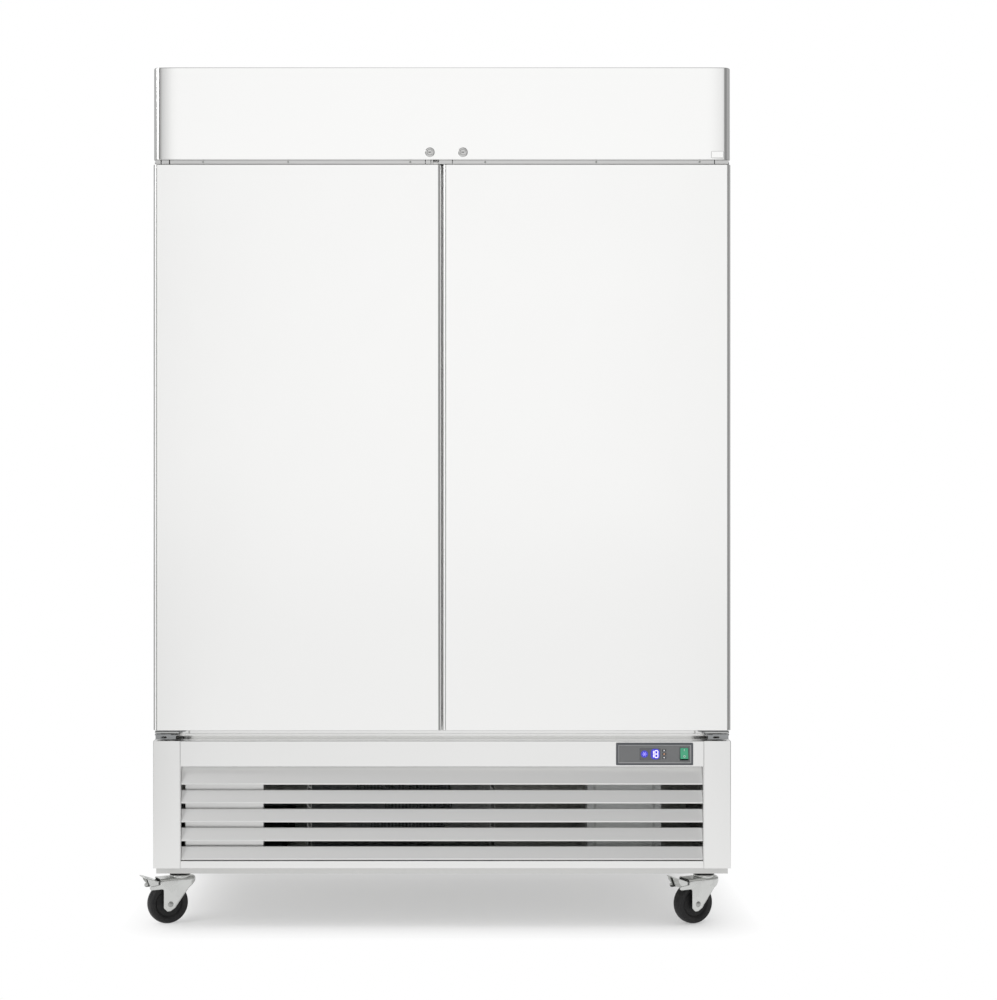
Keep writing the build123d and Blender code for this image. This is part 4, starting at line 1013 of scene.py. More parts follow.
@dataclass
class Door:
    """Full-height solid door: pressed skin, pressed liner, gasket and hinge parts."""

    side: Side
    x0: float
    x1: float
    lock: float
    low: float = 484.0
    high: float = 1836.0
    front: float = FRONT
    skin_back: float = -351.5
    back: float = -350.0
    radius: float = 10.0
    bend: float = 1.4
    gasket_inset: float = 14.0
    gasket_width: float = 14.0
    pivot: Point = HINGE_PIVOT
    cam_slot: Sides = (-8.0, 26.0, -390.7, -381.0)
    closer: Spot = (475.3, 476.0, 480.0)

    def plan(self) -> list[Point]:
        """Draw the skin's outer face seen from above.

        Returns:
            Its points from left to right.
        """
        a, b = self.x0, self.x1
        path = [(a, self.skin_back), (a, self.front), (b, self.front), (b, self.skin_back)]
        return rounded(path, self.radius, 8)

    def make_skin(self) -> None:
        """Build the pressed outer skin, slotted in its top for the lock's cam."""
        skin = Workpiece(f"{self.side}_door_panel", Rack.door_steel)
        ends = sorted(self.lock + self.side.value * reach for reach in self.cam_slot[:2])
        slot = rectangle(*ends, *self.cam_slot[2:], 1.5, 3)
        pressed_pan(skin, self.plan(), self.low, self.high, self.bend, 3.0, holes=[slot])
        skin.done(f"{self.side}_door", "stainless_front", f"{self.side}_door_skin", wall=1.0)

    def make_liner(self) -> None:
        """Build the pressed inner panel with its raised field and rounded corners."""
        liner = Workpiece(f"{self.side}_door_inner_panel", Rack.door_liner)
        inset = self.gasket_inset + self.gasket_width + 8.0
        stages = [(0.0, -1.5, 3.0), (0.0, 0.0, 3.0), (inset - 1.0, 0.0, 22.0), (inset, 0.4, 22.0)]
        stages += [(inset + 5.0, 8.8, 20.0), (inset + 6.4, 9.8, 19.0), (inset + 8.0, 10.0, 18.0)]
        rows = nested((self.x0, self.x1, self.low, self.high), Axis.Y, stages, self.back)
        liner.grid(rows, closed=True)
        liner.cap(rows[-1])
        liner.done(f"{self.side}_door", "liner_aluminium", f"{self.side}_door_liner", sharp=40)

    def make_gasket(self) -> None:
        """Build the seal: retainer, folded bellows and magnet bead, mitred at the corners."""
        gasket = Workpiece(f"{self.side}_door_seal", Rack.gasket)
        inset = self.gasket_inset + self.gasket_width / 2
        half = [(-7, 0), (-7, 2.4), (-4.6, 3.2), (-3.2, 4.6), (-4.6, 6.2), (-3.6, 7.6), (-5.4, 8.8)]
        half += [(-6.6, 10.2), (-6.8, 13.2), (-6.0, 14.6)]
        section = half + [(-a, h) for a, h in half[::-1]]
        corners = rectangle(self.x0 + inset, self.x1 - inset, self.low + inset, self.high - inset)
        rows = []
        for (x, z), (sx, sz) in zip(corners, ((1, 1), (-1, 1), (-1, -1), (1, -1))):
            rows.append([(x + sx * a, self.back + h, z + sz * a) for a, h in section])
        gasket.grid(rows, closed=True, ring=True)
        gasket.done(f"{self.side}_door", "gasket_grey", f"{self.side}_door_gasket", edge=0.35, sharp=30)

    def make_hinge_parts(self) -> None:
        """Build the top bush, the closer block and its screwed plate."""
        out = self.side.value
        px, py = out * self.pivot[0], self.pivot[1]
        bush = Workpiece(f"{self.side}_door_top_bush", Rack.nylon)
        hole = circle(px, py, 5.1, 24)
        bush.prism(centred(px, py, 11, 11, 3.0), Axis.Z, self.high, self.high + 1.7, [hole])
        bush.prism(centred(px, py, 9, 9, 1.5), Axis.Z, self.high - 24, self.high, [hole])
        bush.done(f"{self.side}_door", "nylon", f"{self.side}_door_bushes", edge=0.4)
        boss_low, low, high = self.closer
        closer = Workpiece(f"{self.side}_door_closer", Rack.clip_zinc)
        closer.prism(centred(out * 658, py, 30, 17, 4.0), Axis.Z, low, high, [hole])
        closer.prism(centred(px, py, 10, 10, 2.0), Axis.Z, boss_low, low, [hole])
        closer.use(Rack.cable_grey)
        closer.prism(centred(out * 650.5, py, 36.5, 15, 4.0), Axis.Z, high, self.low - 0.02, [hole])
        closer.use(Rack.bolt_zinc)
        for dx in (18.0, 41.0):
            closer.screw((px - out * dx, py, low), DOWN, 4.5, 2.2)
        closer.done(f"{self.side}_door", "zinc_steel", edge=0.5)

    def build(self) -> None:
        """Build the door."""
        self.make_skin()
        self.make_liner()
        self.make_gasket()
        self.make_hinge_parts()


@dataclass
class HingeSet:
    """Hinge brackets over and under one door, screwed to the cabinet's stile."""

    side: Side
    pivot: Point = HINGE_PIVOT
    inner: float = 631.0
    outer: float = 689.0
    top_plate: float = 1840.0
    low_plate: float = 470.0
    leg: float = 4.0
    stile: float = STILE

    def mirrored(self, x: float) -> float:
        """Return a right-hand place on this hinge's side."""
        return self.side.value * x

    def bracket(self, piece: Workpiece, low: float, high: float, leg_high: float) -> None:
        """Add a plate round the pivot and its screwed leg.

        Args:
            piece: the piece that gets them.
            low: height of the plate's bottom face and the leg's bottom edge.
            high: height of the plate's top face.
            leg_high: height of the leg's top edge.
        """
        reach = self.pivot[1] - 10.5
        outline = [(self.inner, self.stile), (self.inner, reach + 19), (self.inner + 19, reach)]
        outline = rounded([*outline, (self.outer, reach), (self.outer, self.stile)], 4.0, 4)
        piece.prism([(self.mirrored(x), y) for x, y in outline], Axis.Z, low, high)
        xs = sorted((self.mirrored(self.inner), self.mirrored(self.outer)))
        leg = rectangle(*xs, low, leg_high, 3.0)
        piece.prism(leg, Axis.Y, self.stile - self.leg, self.stile)

    def screws(self, piece: Workpiece, height: float) -> None:
        """Add the two leg screws.

        Args:
            piece: the piece that gets them.
            height: their height.
        """
        piece.use(Rack.bolt_zinc)
        for x in (self.inner + 12, self.outer - 14):
            piece.screw((self.mirrored(x), self.stile - self.leg, height), FORWARD, 5.0, 2.8)
        piece.use(Rack.hinge_zinc)

    def build(self) -> None:
        """Build both brackets with their pins."""
        x, y = self.mirrored(self.pivot[0]), self.pivot[1]
        top = Workpiece(f"{self.side}_top_hinge", Rack.hinge_zinc)
        self.bracket(top, self.top_plate, self.top_plate + 5.0, 1886.0)
        self.screws(top, 1868.0)
        top.turned([(0, -26), (3.6, -26), (5, -24.6), (5, 0.2)], (x, y, self.top_plate), UP, 28)
        nodes = ["top_hinge_brackets"] if self.side is Side.RIGHT else []
        top.done("cabinet", "zinc_steel", *nodes, edge=0.6)
        low = Workpiece(f"{self.side}_bottom_hinge", Rack.hinge_zinc)
        self.bracket(low, self.low_plate, self.low_plate + 3.0, 496.0)
        self.screws(low, 485.0)
        xs = sorted((self.mirrored(638.0), self.mirrored(687.0)))
        apron = rectangle(*xs, 460.6, self.low_plate + 1, 2.0)
        low.prism(apron, Axis.Y, y - 10.4, y - 8.6, [slot_outline(xs[0] + 12, xs[1] - 22, 465.5, 4.5)])
        boss = [(0, -9), (7.6, -9), (9.5, -7.4), (9.5, 0)]
        low.turned(boss, (x, y, self.low_plate), UP, 32)
        low.turned([(5, 2.8), (5, 36.6), (3.6, 38), (0, 38)], (x, y, self.low_plate), UP, 28)
        nodes = ["bottom_hinge_brackets"] if self.side is Side.RIGHT else []
        low.done("cabinet", "zinc_steel", *nodes, edge=0.6)


@dataclass
class LowerFront:
    """Corner posts, blank strips and louvre slats in front of the machinery."""

    half_width: float = HALF_WIDTH
    post_inner: float = 625.0
    front: float = FRONT
    back: float = STILE
    low: float = 155.0
    high: float = 459.0
    sheet: float = 1.2
    grille: float = 624.7
    strip_low: float = 398.0
    sill_high: float = 173.0
    slat_heights: tuple[float, ...] = (174.0, 219.0, 264.0, 309.0, 354.0)

    def make_posts(self) -> None:
        """Build the two folded corner posts."""
        inner, outer, f = self.post_inner, self.half_width, self.front
        path = [(outer, self.back), (outer, f), (inner, f), (inner, f + 40)]
        section = folded(path, -self.sheet, 1.8, 4)
        for side in Side:
            sign = side.value
            post = Workpiece(f"{side}_corner_post", Rack.post_steel)
            post.prism([(sign * x, y) for x, y in section], Axis.Z, self.low, self.high)
            cap = sorted((sign * (inner + 1.3), sign * (outer - 1.3)))
            post.block(*cap, f + 1.3, self.back, self.high - 1.6, self.high - 0.4)
            nodes = ["lower_posts"] if side is Side.RIGHT else []
            post.done("cabinet", "stainless_front", *nodes, sharp=50)

    def make_frame(self) -> None:
        """Build the top strip, the bottom strip and the end plates."""
        f, g = self.front, self.grille
        strips = Workpiece("grille_strips", Rack.grille_steel)
        top = [(f + 73.6, self.high + 4), (f + 40, self.high), (f, self.high), (f, self.strip_low)]
        top.append((f + 18.5, self.strip_low - 2.5))
        strips.prism(folded(top, self.sheet, 1.6, 4), Axis.X, -g, g)
        strips.block(-g, g, f + 72.4, f + 73.6, self.high + 3, self.high + 9)
        low = [(f + 12, self.sill_high), (f, self.sill_high), (f, self.low), (f + 56, self.low)]
        strips.prism(folded(low, self.sheet, 1.6, 4), Axis.X, -g, g)
        for x in (-g, g - self.sheet):
            strips.block(x, x + self.sheet, f + 1.4, f + 40, self.sill_high - 12, self.strip_low + 20)
        strips.done("cabinet", "stainless_front", "grille_frame", sharp=50)

    def make_slats(self) -> None:
        """Build the sloping slats with their rolled front lips."""
        y = self.front + 3.0
        x = self.grille - self.sheet - 0.5
        slats = Workpiece("louvre_blades", Rack.louvre_steel)
        for z in self.slat_heights:
            depth, rise = (17.0, 42.0) if z == self.slat_heights[-1] else (12.0, 31.0)
            path = [(y + 6, z + 2), (y, z), (y, z + 4), (y + depth, z + rise), (y + depth + 5, z + rise)]
            slats.prism(folded(path, -self.sheet, 1.0, 4), Axis.X, -x, x)
        slats.done("cabinet", "stainless_front", "louvre_slats", sharp=50)

    def make_baffle(self) -> None:
        """Build the pale plate behind the left end of the slats, which keeps warm air from turning back."""
        f = self.front
        baffle = Workpiece("air_baffle", Rack.louvre_steel)
        path = [(-self.grille + 8, f + 50), (-self.grille + 8, f + 26), (-428.0, f + 26), (-428.0, f + 50)]
        baffle.prism(folded(path, self.sheet, 1.6, 3), Axis.Z, 158.0, self.strip_low - 2)
        baffle.use(Rack.bolt_zinc)
        for z in (190.0, 366.0):
            baffle.screw((-609.0, f + 26, z), FORWARD, 4.2, 0.8)
        baffle.done("cabinet", "stainless_front", sharp=50)

    def build(self) -> None:
        """Build the lower front."""
        self.make_posts()
        self.make_frame()
        self.make_slats()
        self.make_baffle()


@dataclass
class Controller:
    """Moulded bezel with a lit window, three keys and a rocker switch."""

    x: float = 507.5
    z: float = 428.5
    front: float = FRONT
    half_width: float = 92.0
    half_height: float = 26.75
    window_x: float = 496.5
    key_x: float = 530.0
    key_pitch: float = 8.4
    rocker_x: float = 578.0

    def make_bezel(self) -> None:
        """Build the rim, the recessed face and the body behind the panel."""
        bezel = Workpiece("controller_surround", Rack.bezel)
        w, h, y = self.half_width, self.half_height, self.front
        stages = [(0.0, 0.0, 2.4), (0.0, -2.8, 2.4), (0.5, -3.6, 2.2), (1.3, -4.0, 1.8)]
        stages += [(5.2, -4.0, 1.2), (6.6, -3.4, 1.0), (7.2, -2.5, 0.8)]
        rows = nested((self.x - w, self.x + w, self.z - h, self.z + h), Axis.Y, stages, y)
        bezel.grid(rows[:5], closed=True)
        # The rim's inner bevel is painted lighter, a painted highlight.
        bezel.use(Rack.bezel_bevel)
        bezel.grid(rows[4:], closed=True)
        bezel.use(Rack.bezel_face)
        a, b = w - stages[-1][0], h - stages[-1][0]
        opening = centred(self.rocker_x, self.z, 9.8, 14.5, 1.2)
        bezel.prism(centred(self.x, self.z, a, b, 2.2, 6), Axis.Y, y - 2.5, y, [opening])
        bezel.use(Rack.bezel)
        bezel.block(self.x - a, self.x + a, y, y + 26, self.z - b, self.z + b)
        bezel.prism(centred(self.rocker_x, self.z, 11, 15.8, 1.8), Axis.Y, y - 3.4, y - 2.5, [opening])
        bezel.done("cabinet", "bezel_grey", "controller_bezel", edge=0.25)

    def make_window(self) -> None:
        """Build the smoked window with its lit number and a faint mark."""
        y = self.front - 2.5
        window = Workpiece("controller_window", Rack.display)
        window.prism(centred(self.window_x, self.z, 24.9, 14.4, 1.5), Axis.Y, y - 0.5, y + 1)
        window.done("cabinet", "display_black", "controller_display", edge=0.2)
        x, z = self.window_x - 13.5, self.z
        lit = Workpiece("controller_number", Rack.segments)
        face = y - 0.56
        self.segments(lit, self.window_x + 4.5, face, (1, 2))
        self.segments(lit, self.window_x + 15.0, face, (0, 1, 2, 3, 4, 5, 6))
        lit.use(Rack.halo)
        for glow in (centred(self.window_x + 12.25, self.z, 10.75, 12.5, 8.0), circle(x, z, 8.5, 28)):
            lit.prism(glow, Axis.Y, face + 0.05, face + 0.1)
        lit.done("cabinet", "display_black")
        mark = Workpiece("controller_mark", Rack.faint_mark)
        for angle in (0, 60, 120):
            c, s = math.cos(math.radians(angle)), math.sin(math.radians(angle))
            bar = [(x + a * c - b * s, z + a * s + b * c) for a, b in centred(0, 0, 5.5, 0.6)]
            mark.prism(bar, Axis.Y, face - 0.02, face + 0.03)
        mark.done("cabinet", "display_black")

    def segments(self, piece: Workpiece, x: float, face: float, lit: Sequence[int]) -> None:
        """Add the lit bars of one digit.

        Args:
            piece: the piece that gets them.
            x: the digit's middle.
            face: depth of the window's face.
            lit: bars that are on, from the top one round to the middle one.
        """
        w, h, t = 3.6, 8.2, 0.95
        bars = [(0, h), (w, h / 2), (w, -h / 2), (0, -h), (-w, -h / 2), (-w, h / 2), (0, 0)]
        for number in lit:
            across, up = bars[number]
            half = (t, h / 2 - 0.5) if across else (w - 0.5, t)
            piece.prism(centred(x + across, self.z + up, *half), Axis.Y, face, face + 0.05)

    def make_keys(self) -> None:
        """Build the three keys with their marks."""
        y = self.front - 2.5
        for name, step in (("down", -1), ("set", 0), ("up", 1)):
            z = self.z + step * self.key_pitch
            key = Workpiece(f"{name}_key_cap", Rack.key_grey)
            key.prism(centred(self.key_x, z, 4.5, 2.75, 1.0), Axis.Y, y - 0.95, y + 5)
            key.use(Rack.key_mark if step else Rack.key_amber)
            arrow, dot = circle(self.key_x, z, 2.6, 3, step * math.pi / 2), circle(self.key_x, z, 2.1, 16)
            key.prism(arrow if step else dot, Axis.Y, y - 1.0, y - 0.9)
            key.done(f"{name}_key", "key_grey", f"{name}_key", edge=0.25)

    def make_rocker(self) -> None:
        """Build the green rocker, resting with its top in."""
        pivot = Vector((0, self.front + 8.2, self.z))
        turn = Matrix.Rotation(math.radians(-9), 4, "X")
        lean = Matrix.Translation(pivot) @ turn @ Matrix.Translation(-pivot)
        rocker = Workpiece("rocker_cap", Rack.rocker, lean)
        x, y, z, half, w = self.rocker_x, self.front - 5.35, self.z, 13.4, 9.3
        face = [(y + 1.6 * (1 - part**2), z + half * part) for part in (1 - k / 5 for k in range(11))]
        rocker.prism([*face, (y + 5, z - half), (pivot.y, z), (y + 5, z + half)], Axis.X, x - w, x + w)
        rocker.use(Rack.key_mark)
        rocker.prism(centred(x, z + 7.5, 0.5, 2.0), Axis.Y, y + 0.35, y + 0.9)
        ring, hole = (circle(x, z - 7.5, radius, 20) for radius in (2.4, 1.6))
        rocker.prism(ring, Axis.Y, y + 0.35, y + 0.9, [hole])
        rocker.done("power_rocker", "rocker_green", "power_rocker", edge=0.5, segments=3)

    def build(self) -> None:
        """Build the controller."""
        self.make_bezel()
        self.make_window()
        self.make_keys()
        self.make_rocker()


@dataclass
class Caster:
    """Swivel caster: top plate, ball race, pressed fork, wheel and, in front, a brake pedal."""

    name: str
    x: float
    y: float
    turn: float
    braked: bool = False
    wheel_radius: float = 50.0
    tread: float = 32.0
    trail: float = 32.0
    inside: float = 19.0
    sheet: float = 2.5
    lead: float = 14.0
    fork_top: float = 110.0
    plate_low: float = 130.5
    bend: float = 3.5
    pedal_pivot: Point = (-54.0, 102.5)

    def frame(self) -> Matrix:
        """Return where the caster's own millimetres lie, its wheel trailing towards -X."""
        turn = Matrix.Rotation(math.radians(self.turn), 4, "Z")
        return Matrix.Translation((self.x, self.y, 0)) @ turn

    def make_plate(self) -> None:
        """Build the top plate with its bolts and the fixed half of the race."""
        place = Matrix.Translation((self.x, self.y, 0))
        plate = Workpiece(f"{self.name}_caster_plate", Rack.caster_zinc, place)
        bolts = [(34 * a, 25 * b) for a, b in QUADRANTS]
        holes = [slot_outline(x - 6.5, x + 6.5, y, 8.6) for x, y in bolts]
        plate.prism(centred(0, 0, 46, 35, 9.0), Axis.Z, self.plate_low, 132.98, holes)
        bowl = [(29, 0), (28.4, -2.2), (26.4, -4.4), (25.4, -7.4), (22, -9.0), (0, -9.0)]
        plate.turned(bowl, (0, 0, self.plate_low), UP, 48)
        plate.use(Rack.bolt_zinc)
        for x, y in bolts:
            plate.turned([(9.2, 0.1), (9.2, -1.1), (5, -1.1)], (x, y, self.plate_low), UP, 24)
            plate.hexagon((x, y, self.plate_low - 1.1), DOWN, 7.4, 5.4, 0.01 * x)
        nodes = ["caster_plates"] if self.name == "front_left" else []
        plate.done("cabinet", "zinc_steel", *nodes, edge=0.4)

    def make_race(self) -> None:
        """Build the turning half of the race, its dust seal and the king pin's head."""
        race = Workpiece(f"{self.name}_caster_race", Rack.caster_zinc, self.frame())
        ring = [(0, 0.2), (20, 0.2), (24.6, 1.4), (26.0, 3.4), (26.0, 6.0), (24.6, 8.2), (0, 8.2)]
        race.turned(ring, (0, 0, self.fork_top), UP, 48)
        race.turned([(0, -5.6), (6, -5.4), (9, -3.8), (9.5, -2.4)], (0, 0, self.fork_top), UP, 28)
        race.use(Rack.grommet)
        race.turned([(25.0, 7.4), (25.4, 9.4), (24.6, 11.2), (18, 11.2)], (0, 0, self.fork_top), UP, 48)
        race.done(f"{self.name}_swivel", "zinc_steel", sharp=50)

    def cheek(self) -> list[Point]:
        """Draw one cheek of the fork as it is seen from the side.

        Returns:
            Its outline.
        """
        ax, top, nose = -self.trail, self.fork_top, self.lead + self.inside + self.sheet
        back = [(ax - 17, top)]
        if self.braked:
            back = [(-56, top), (-56, 100), (-84, 97), (-84, 88), (ax - 17, 88)]
        tip = [(ax - 17, 42), (ax - 8, 33), (ax, 33.5), (ax + 12, 41), (self.lead, 86), (nose, 104)]
        return rounded([*back, *tip, (nose, top)], 4.5, 4, closed=True)

    def span(self, outline: Section, x: float) -> Point:
        """Find how far an outline reaches down and up at a place along it.

        Args:
            outline: its points.
            x: the place.

        Returns:
            Its lowest and its highest point there.
        """
        heights = []
        for (x0, z0), (x1, z1) in zip(outline, [*outline[1:], outline[0]]):
            if min(x0, x1) <= x <= max(x0, x1) and abs(x1 - x0) > 1e-6:
                heights.append(z0 + (z1 - z0) * (x - x0) / (x1 - x0))
        return min(heights), max(heights)

    def make_fork(self) -> None:
        """Build the pressed fork: cheeks, top and a wrapped leading wall, as one bent sheet."""
        fork = Workpiece(f"{self.name}_caster_fork", Rack.caster_zinc, self.frame())
        out, top, bend = self.inside + self.sheet, self.fork_top, self.bend
        outline = self.cheek()
        edges = [x + step for x, _ in outline for step in (-0.02, 0.02)]
        low_x, high_x = min(edges) + 0.03, max(edges) - 0.03
        flat = sorted({round(x, 3) for x in edges if low_x < x < self.lead})
        turns = [math.pi / 2 * (1 - k / 8) for k in range(17)]
        arc = [(min(self.lead + out * math.cos(t), high_x), out * math.sin(t)) for t in turns]
        plan = [(x, out) for x in flat] + arc + [(x, -out) for x in flat[::-1]]
        spans = [self.span(outline, x) for x, _ in plan]
        bent = [high > top - 3 for _, high in spans]
        rows = []
        for k in range(9):
            line = []
            for (x, y), (low, high), folds in zip(plan, spans, bent):
                line.append((x, y, low + ((top - bend if folds else high) - low) * k / 8))
            rows.append(line)
        for t in (math.pi / 8 * k for k in range(1, 5)):
            inner = shifted(plan, -bend * (1 - math.cos(t)))
            level = top - bend + bend * math.sin(t)
            rows.append([(*p, level) if folds else edge for p, edge, folds in zip(inner, rows[8], bent)])
        fork.grid(rows)
        fork.cap(p for p, folds in zip(rows[-1], bent) if folds)
        fork.done(f"{self.name}_swivel", "zinc_steel", f"{self.name}_fork", wall=self.sheet, sharp=60)
        self.make_axle()

    def make_axle(self) -> None:
        """Build the axle bolt with a domed head, its nut and washers, and the pedal's rivet."""
        bolt = Workpiece(f"{self.name}_caster_axle", Rack.bolt_zinc, self.frame())
        x, z, out = -self.trail, self.wheel_radius, self.inside + self.sheet
        bolt.turned([(5, -out), (5, out)], (x, 0, z), BACKWARD, 24)
        head = [(5, 0), (9.8, 0), (9.8, 1.0), (7.4, 1.1), (7.2, 2.6), (5.2, 3.9), (2.4, 4.4), (0, 4.4)]
        bolt.turned(head, (x, -out, z), FORWARD, 32)
        bolt.turned([(5, 0), (9.6, 0), (9.6, 1.2), (5, 1.2)], (x, out, z), BACKWARD, 28)
        bolt.hexagon((x, out + 1.2, z), BACKWARD, 7.9, 3.6, 0.2)
        if self.braked:
            px, pz = self.pedal_pivot
            rivet = [(4.2, 0), (4.0, 1.0), (2.4, 1.8), (0, 2.0)]
            for sign in (-1, 1):
                bolt.turned(rivet, (px, sign * out, pz), (0, sign, 0), 24)
            bolt.turned([(2.45, -out), (2.45, out)], (px, 0, pz), BACKWARD, 20)
        bolt.done(f"{self.name}_swivel", "zinc_steel", edge=0.3)

    def make_wheel(self) -> None:
        """Build the wheel: rounded tread, recessed web and hub."""
        wheel = Workpiece(f"{self.name}_caster_tyre", Rack.wheel_rubber, self.frame())
        r, h = self.wheel_radius, self.tread / 2
        angles = [math.pi / 2 * k / 9 for k in range(-9, 10)]
        tread = [(r - 8 + 8 * max(0.0, math.cos(t)) ** 0.7, h * math.sin(t)) for t in angles]
        web = [(5.2, h), (11, h), (12.5, h - 1), (13.5, h - 5), (31, h - 5.4), (34, h - 1.8), (37, h - 0.3)]
        profile = [(radius, -place) for radius, place in web] + tread + web[::-1]
        wheel.turned([*profile, (5.2, -h)], (-self.trail, 0, r), BACKWARD, 72)
        wheel.done(f"{self.name}_wheel", "wheel_black", f"{self.name}_wheel", sharp=50)

    def make_pedal(self) -> None:
        """Build the brake pedal: eye, arm, shoe and a broad foot with turned-down edges."""
        pedal = Workpiece(f"{self.name}_brake_pedal", Rack.caster_zinc, self.frame())
        pu, pz = self.pedal_pivot
        arm = [(pu + 4, pz - 4), (pu + 4, pz + 4), (pu - 4, pz + 4.2), (-62, 107.2), (-80, 113.6), (-80, 111)]
        arm += [(-71.5, 88.6), (-60.5, 96.0)]
        pedal.prism(rounded(arm, 2.0, 3, closed=True), Axis.Y, -15.8, 15.8)
        foot = [(-62.2, -23.6), (-90, -23.6), (-99.8, -12), (-99.8, 12), (-90, 23.6), (-62.2, 23.6)]
        plan = rounded(foot, 5.0, 4, closed=True)
        rows = []
        for inset, drop in ((0.0, -1.9), (0.1, -0.2), (0.7, 0.35), (3.5, 0.0), (6.0, -0.55), (9.5, -0.6)):
            ring = shifted(plan, -inset, closed=True)
            rows.append([(x, y, self.foot_height(x) + 2.1 + drop) for x, y in ring])
        pedal.grid(rows, closed=True)
        pedal.cap(rows[-1])
        pedal.cap(rows[0])
        flange = [(-62.5, 106.2), (-86, 114.8), (-89.5, 115.6), (-87, 107), (-79, 96.5), (-71, 95)]
        flange = rounded([*flange, (-62.5, 99)], 2.5, 3, closed=True)
        for start in (-23.6, 21.8):
            pedal.prism(flange, Axis.Y, start, start + 1.8)
        pedal.done(f"{self.name}_pedal", "zinc_steel", f"{self.name}_pedal", edge=0.5)

    def foot_height(self, x: float) -> float:
        """Return the height of the foot plate's lower face."""
        return 105.0 + 14.0 * min(1.0, max(0.0, (-62.0 - x) / 38.0))

    def build(self) -> None:
        """Build the caster."""
        self.make_plate()
        self.make_race()
        self.make_fork()
        self.make_wheel()
        if self.braked:
            self.make_pedal()


# Cabinet, compartment and machinery


@dataclass
class CabinetSkins:
    """Back and roof sheets, the vented panel and the coved liner of the compartment."""

    half_width: float = HALF_WIDTH
    back: float = 408.05
    gauge: float = 0.8
    split: float = 461.5
    high: float = 2066.9
    tray_top: float = 155.3
    roof: Spot = (-314.7, 409.8, 2067.05)
    liner: Sides = (-630.0, 630.0, 530.0, CEILING)
    liner_depth: Point = (-315.0, 349.0)
    vent_rows: tuple[float, ...] = (205.6, 246.8, 287.9, 329.1, 370.3, 411.4)
    vent_columns: tuple[Point, ...] = ((-630.0, -30.0), (30.0, 630.0))

    def make_back(self) -> None:
        """Build the back sheet, and the vented panel with hoods pressed inwards."""
        w, y, g = self.half_width - 1.0, self.back, self.gauge
        sheet = Workpiece("back_sheet", Rack.galvanised)
        sheet.prism(rectangle(-w, w, self.split + 0.6, self.high), Axis.Y, y, y + g)
        sheet.done("cabinet", "galvanised", "back_panel")
        vents = Workpiece("rear_vents", Rack.galvanised)
        slots = [slot_outline(x0, x1, z, 14.0, 4) for x0, x1 in self.vent_columns for z in self.vent_rows]
        vents.prism(rectangle(-w, w, self.tray_top, self.split), Axis.Y, y, y + g, slots)
        for x0, x1 in self.vent_columns:
            for z in self.vent_rows:
                hood = [(y + 0.4, z - 7), (y - 9, z + 3), (y - 10, z + 9)]
                vents.prism(folded(hood, g, 1.0), Axis.X, x0 + 1, x1 - 1)
        vents.done("cabinet", "galvanised", "rear_grille", sharp=40)

    def make_roof(self) -> None:
        """Build the roof sheet."""
        front, back, z = self.roof
        roof = Workpiece("roof_sheet", Rack.galvanised)
        edge = self.half_width - 0.4
        roof.prism(rectangle(-edge, edge, front, back), Axis.Z, z, z + 0.35)
        roof.done("cabinet", "galvanised", "roof_panel")

    def make_screws(self) -> None:
        """Build the flat screws along the laps of the back and the roof."""
        screws = Workpiece("skin_screws", Rack.bolt_zinc)
        lap = self.half_width - 8.0
        for x in (-lap, lap):
            for k in range(13):
                screws.screw((x, 409.0, 500.0 + k * 128.0), BACKWARD, 4.6, 0.95)
            for z in (186.0, 308.0, 432.0):
                screws.screw((x, 409.0, z), BACKWARD, 4.6, 0.95)
        for x in (-440.0, -150.0, 150.0, 440.0):
            screws.screw((x, self.back + self.gauge, 2052.0), BACKWARD, 4.6, 1.05)
            screws.screw((x, self.back + self.gauge, 447.0), BACKWARD, 4.6, 1.05)
            screws.screw((x, 396.0, self.roof[2] + 0.35), UP, 4.6, 0.55)
        screws.done("cabinet", "zinc_steel")

    def make_liner(self) -> None:
        """Build the liner with coved corners, its visible side inwards."""
        y0, y1 = self.liner_depth
        liner = Workpiece("compartment_liner", Rack.liner_aluminium)
        stages = [(0.0, y0, 12.0), (0.0, y1 - 12, 12.0), (1.6, y1 - 5, 10.4)]
        stages += [(5.0, y1 - 1.6, 7.0), (12.0, y1, 1.0)]
        rows = nested(self.liner, Axis.Y, stages, steps=5)
        liner.grid(rows, closed=True)
        liner.cap(rows[-1])
        liner.done("cabinet", "liner_aluminium", "inner_liner", wall=0.8, sharp=50)

    def build(self) -> None:
        """Build the skins."""
        self.make_back()
        self.make_roof()
        self.make_screws()
        self.make_liner()


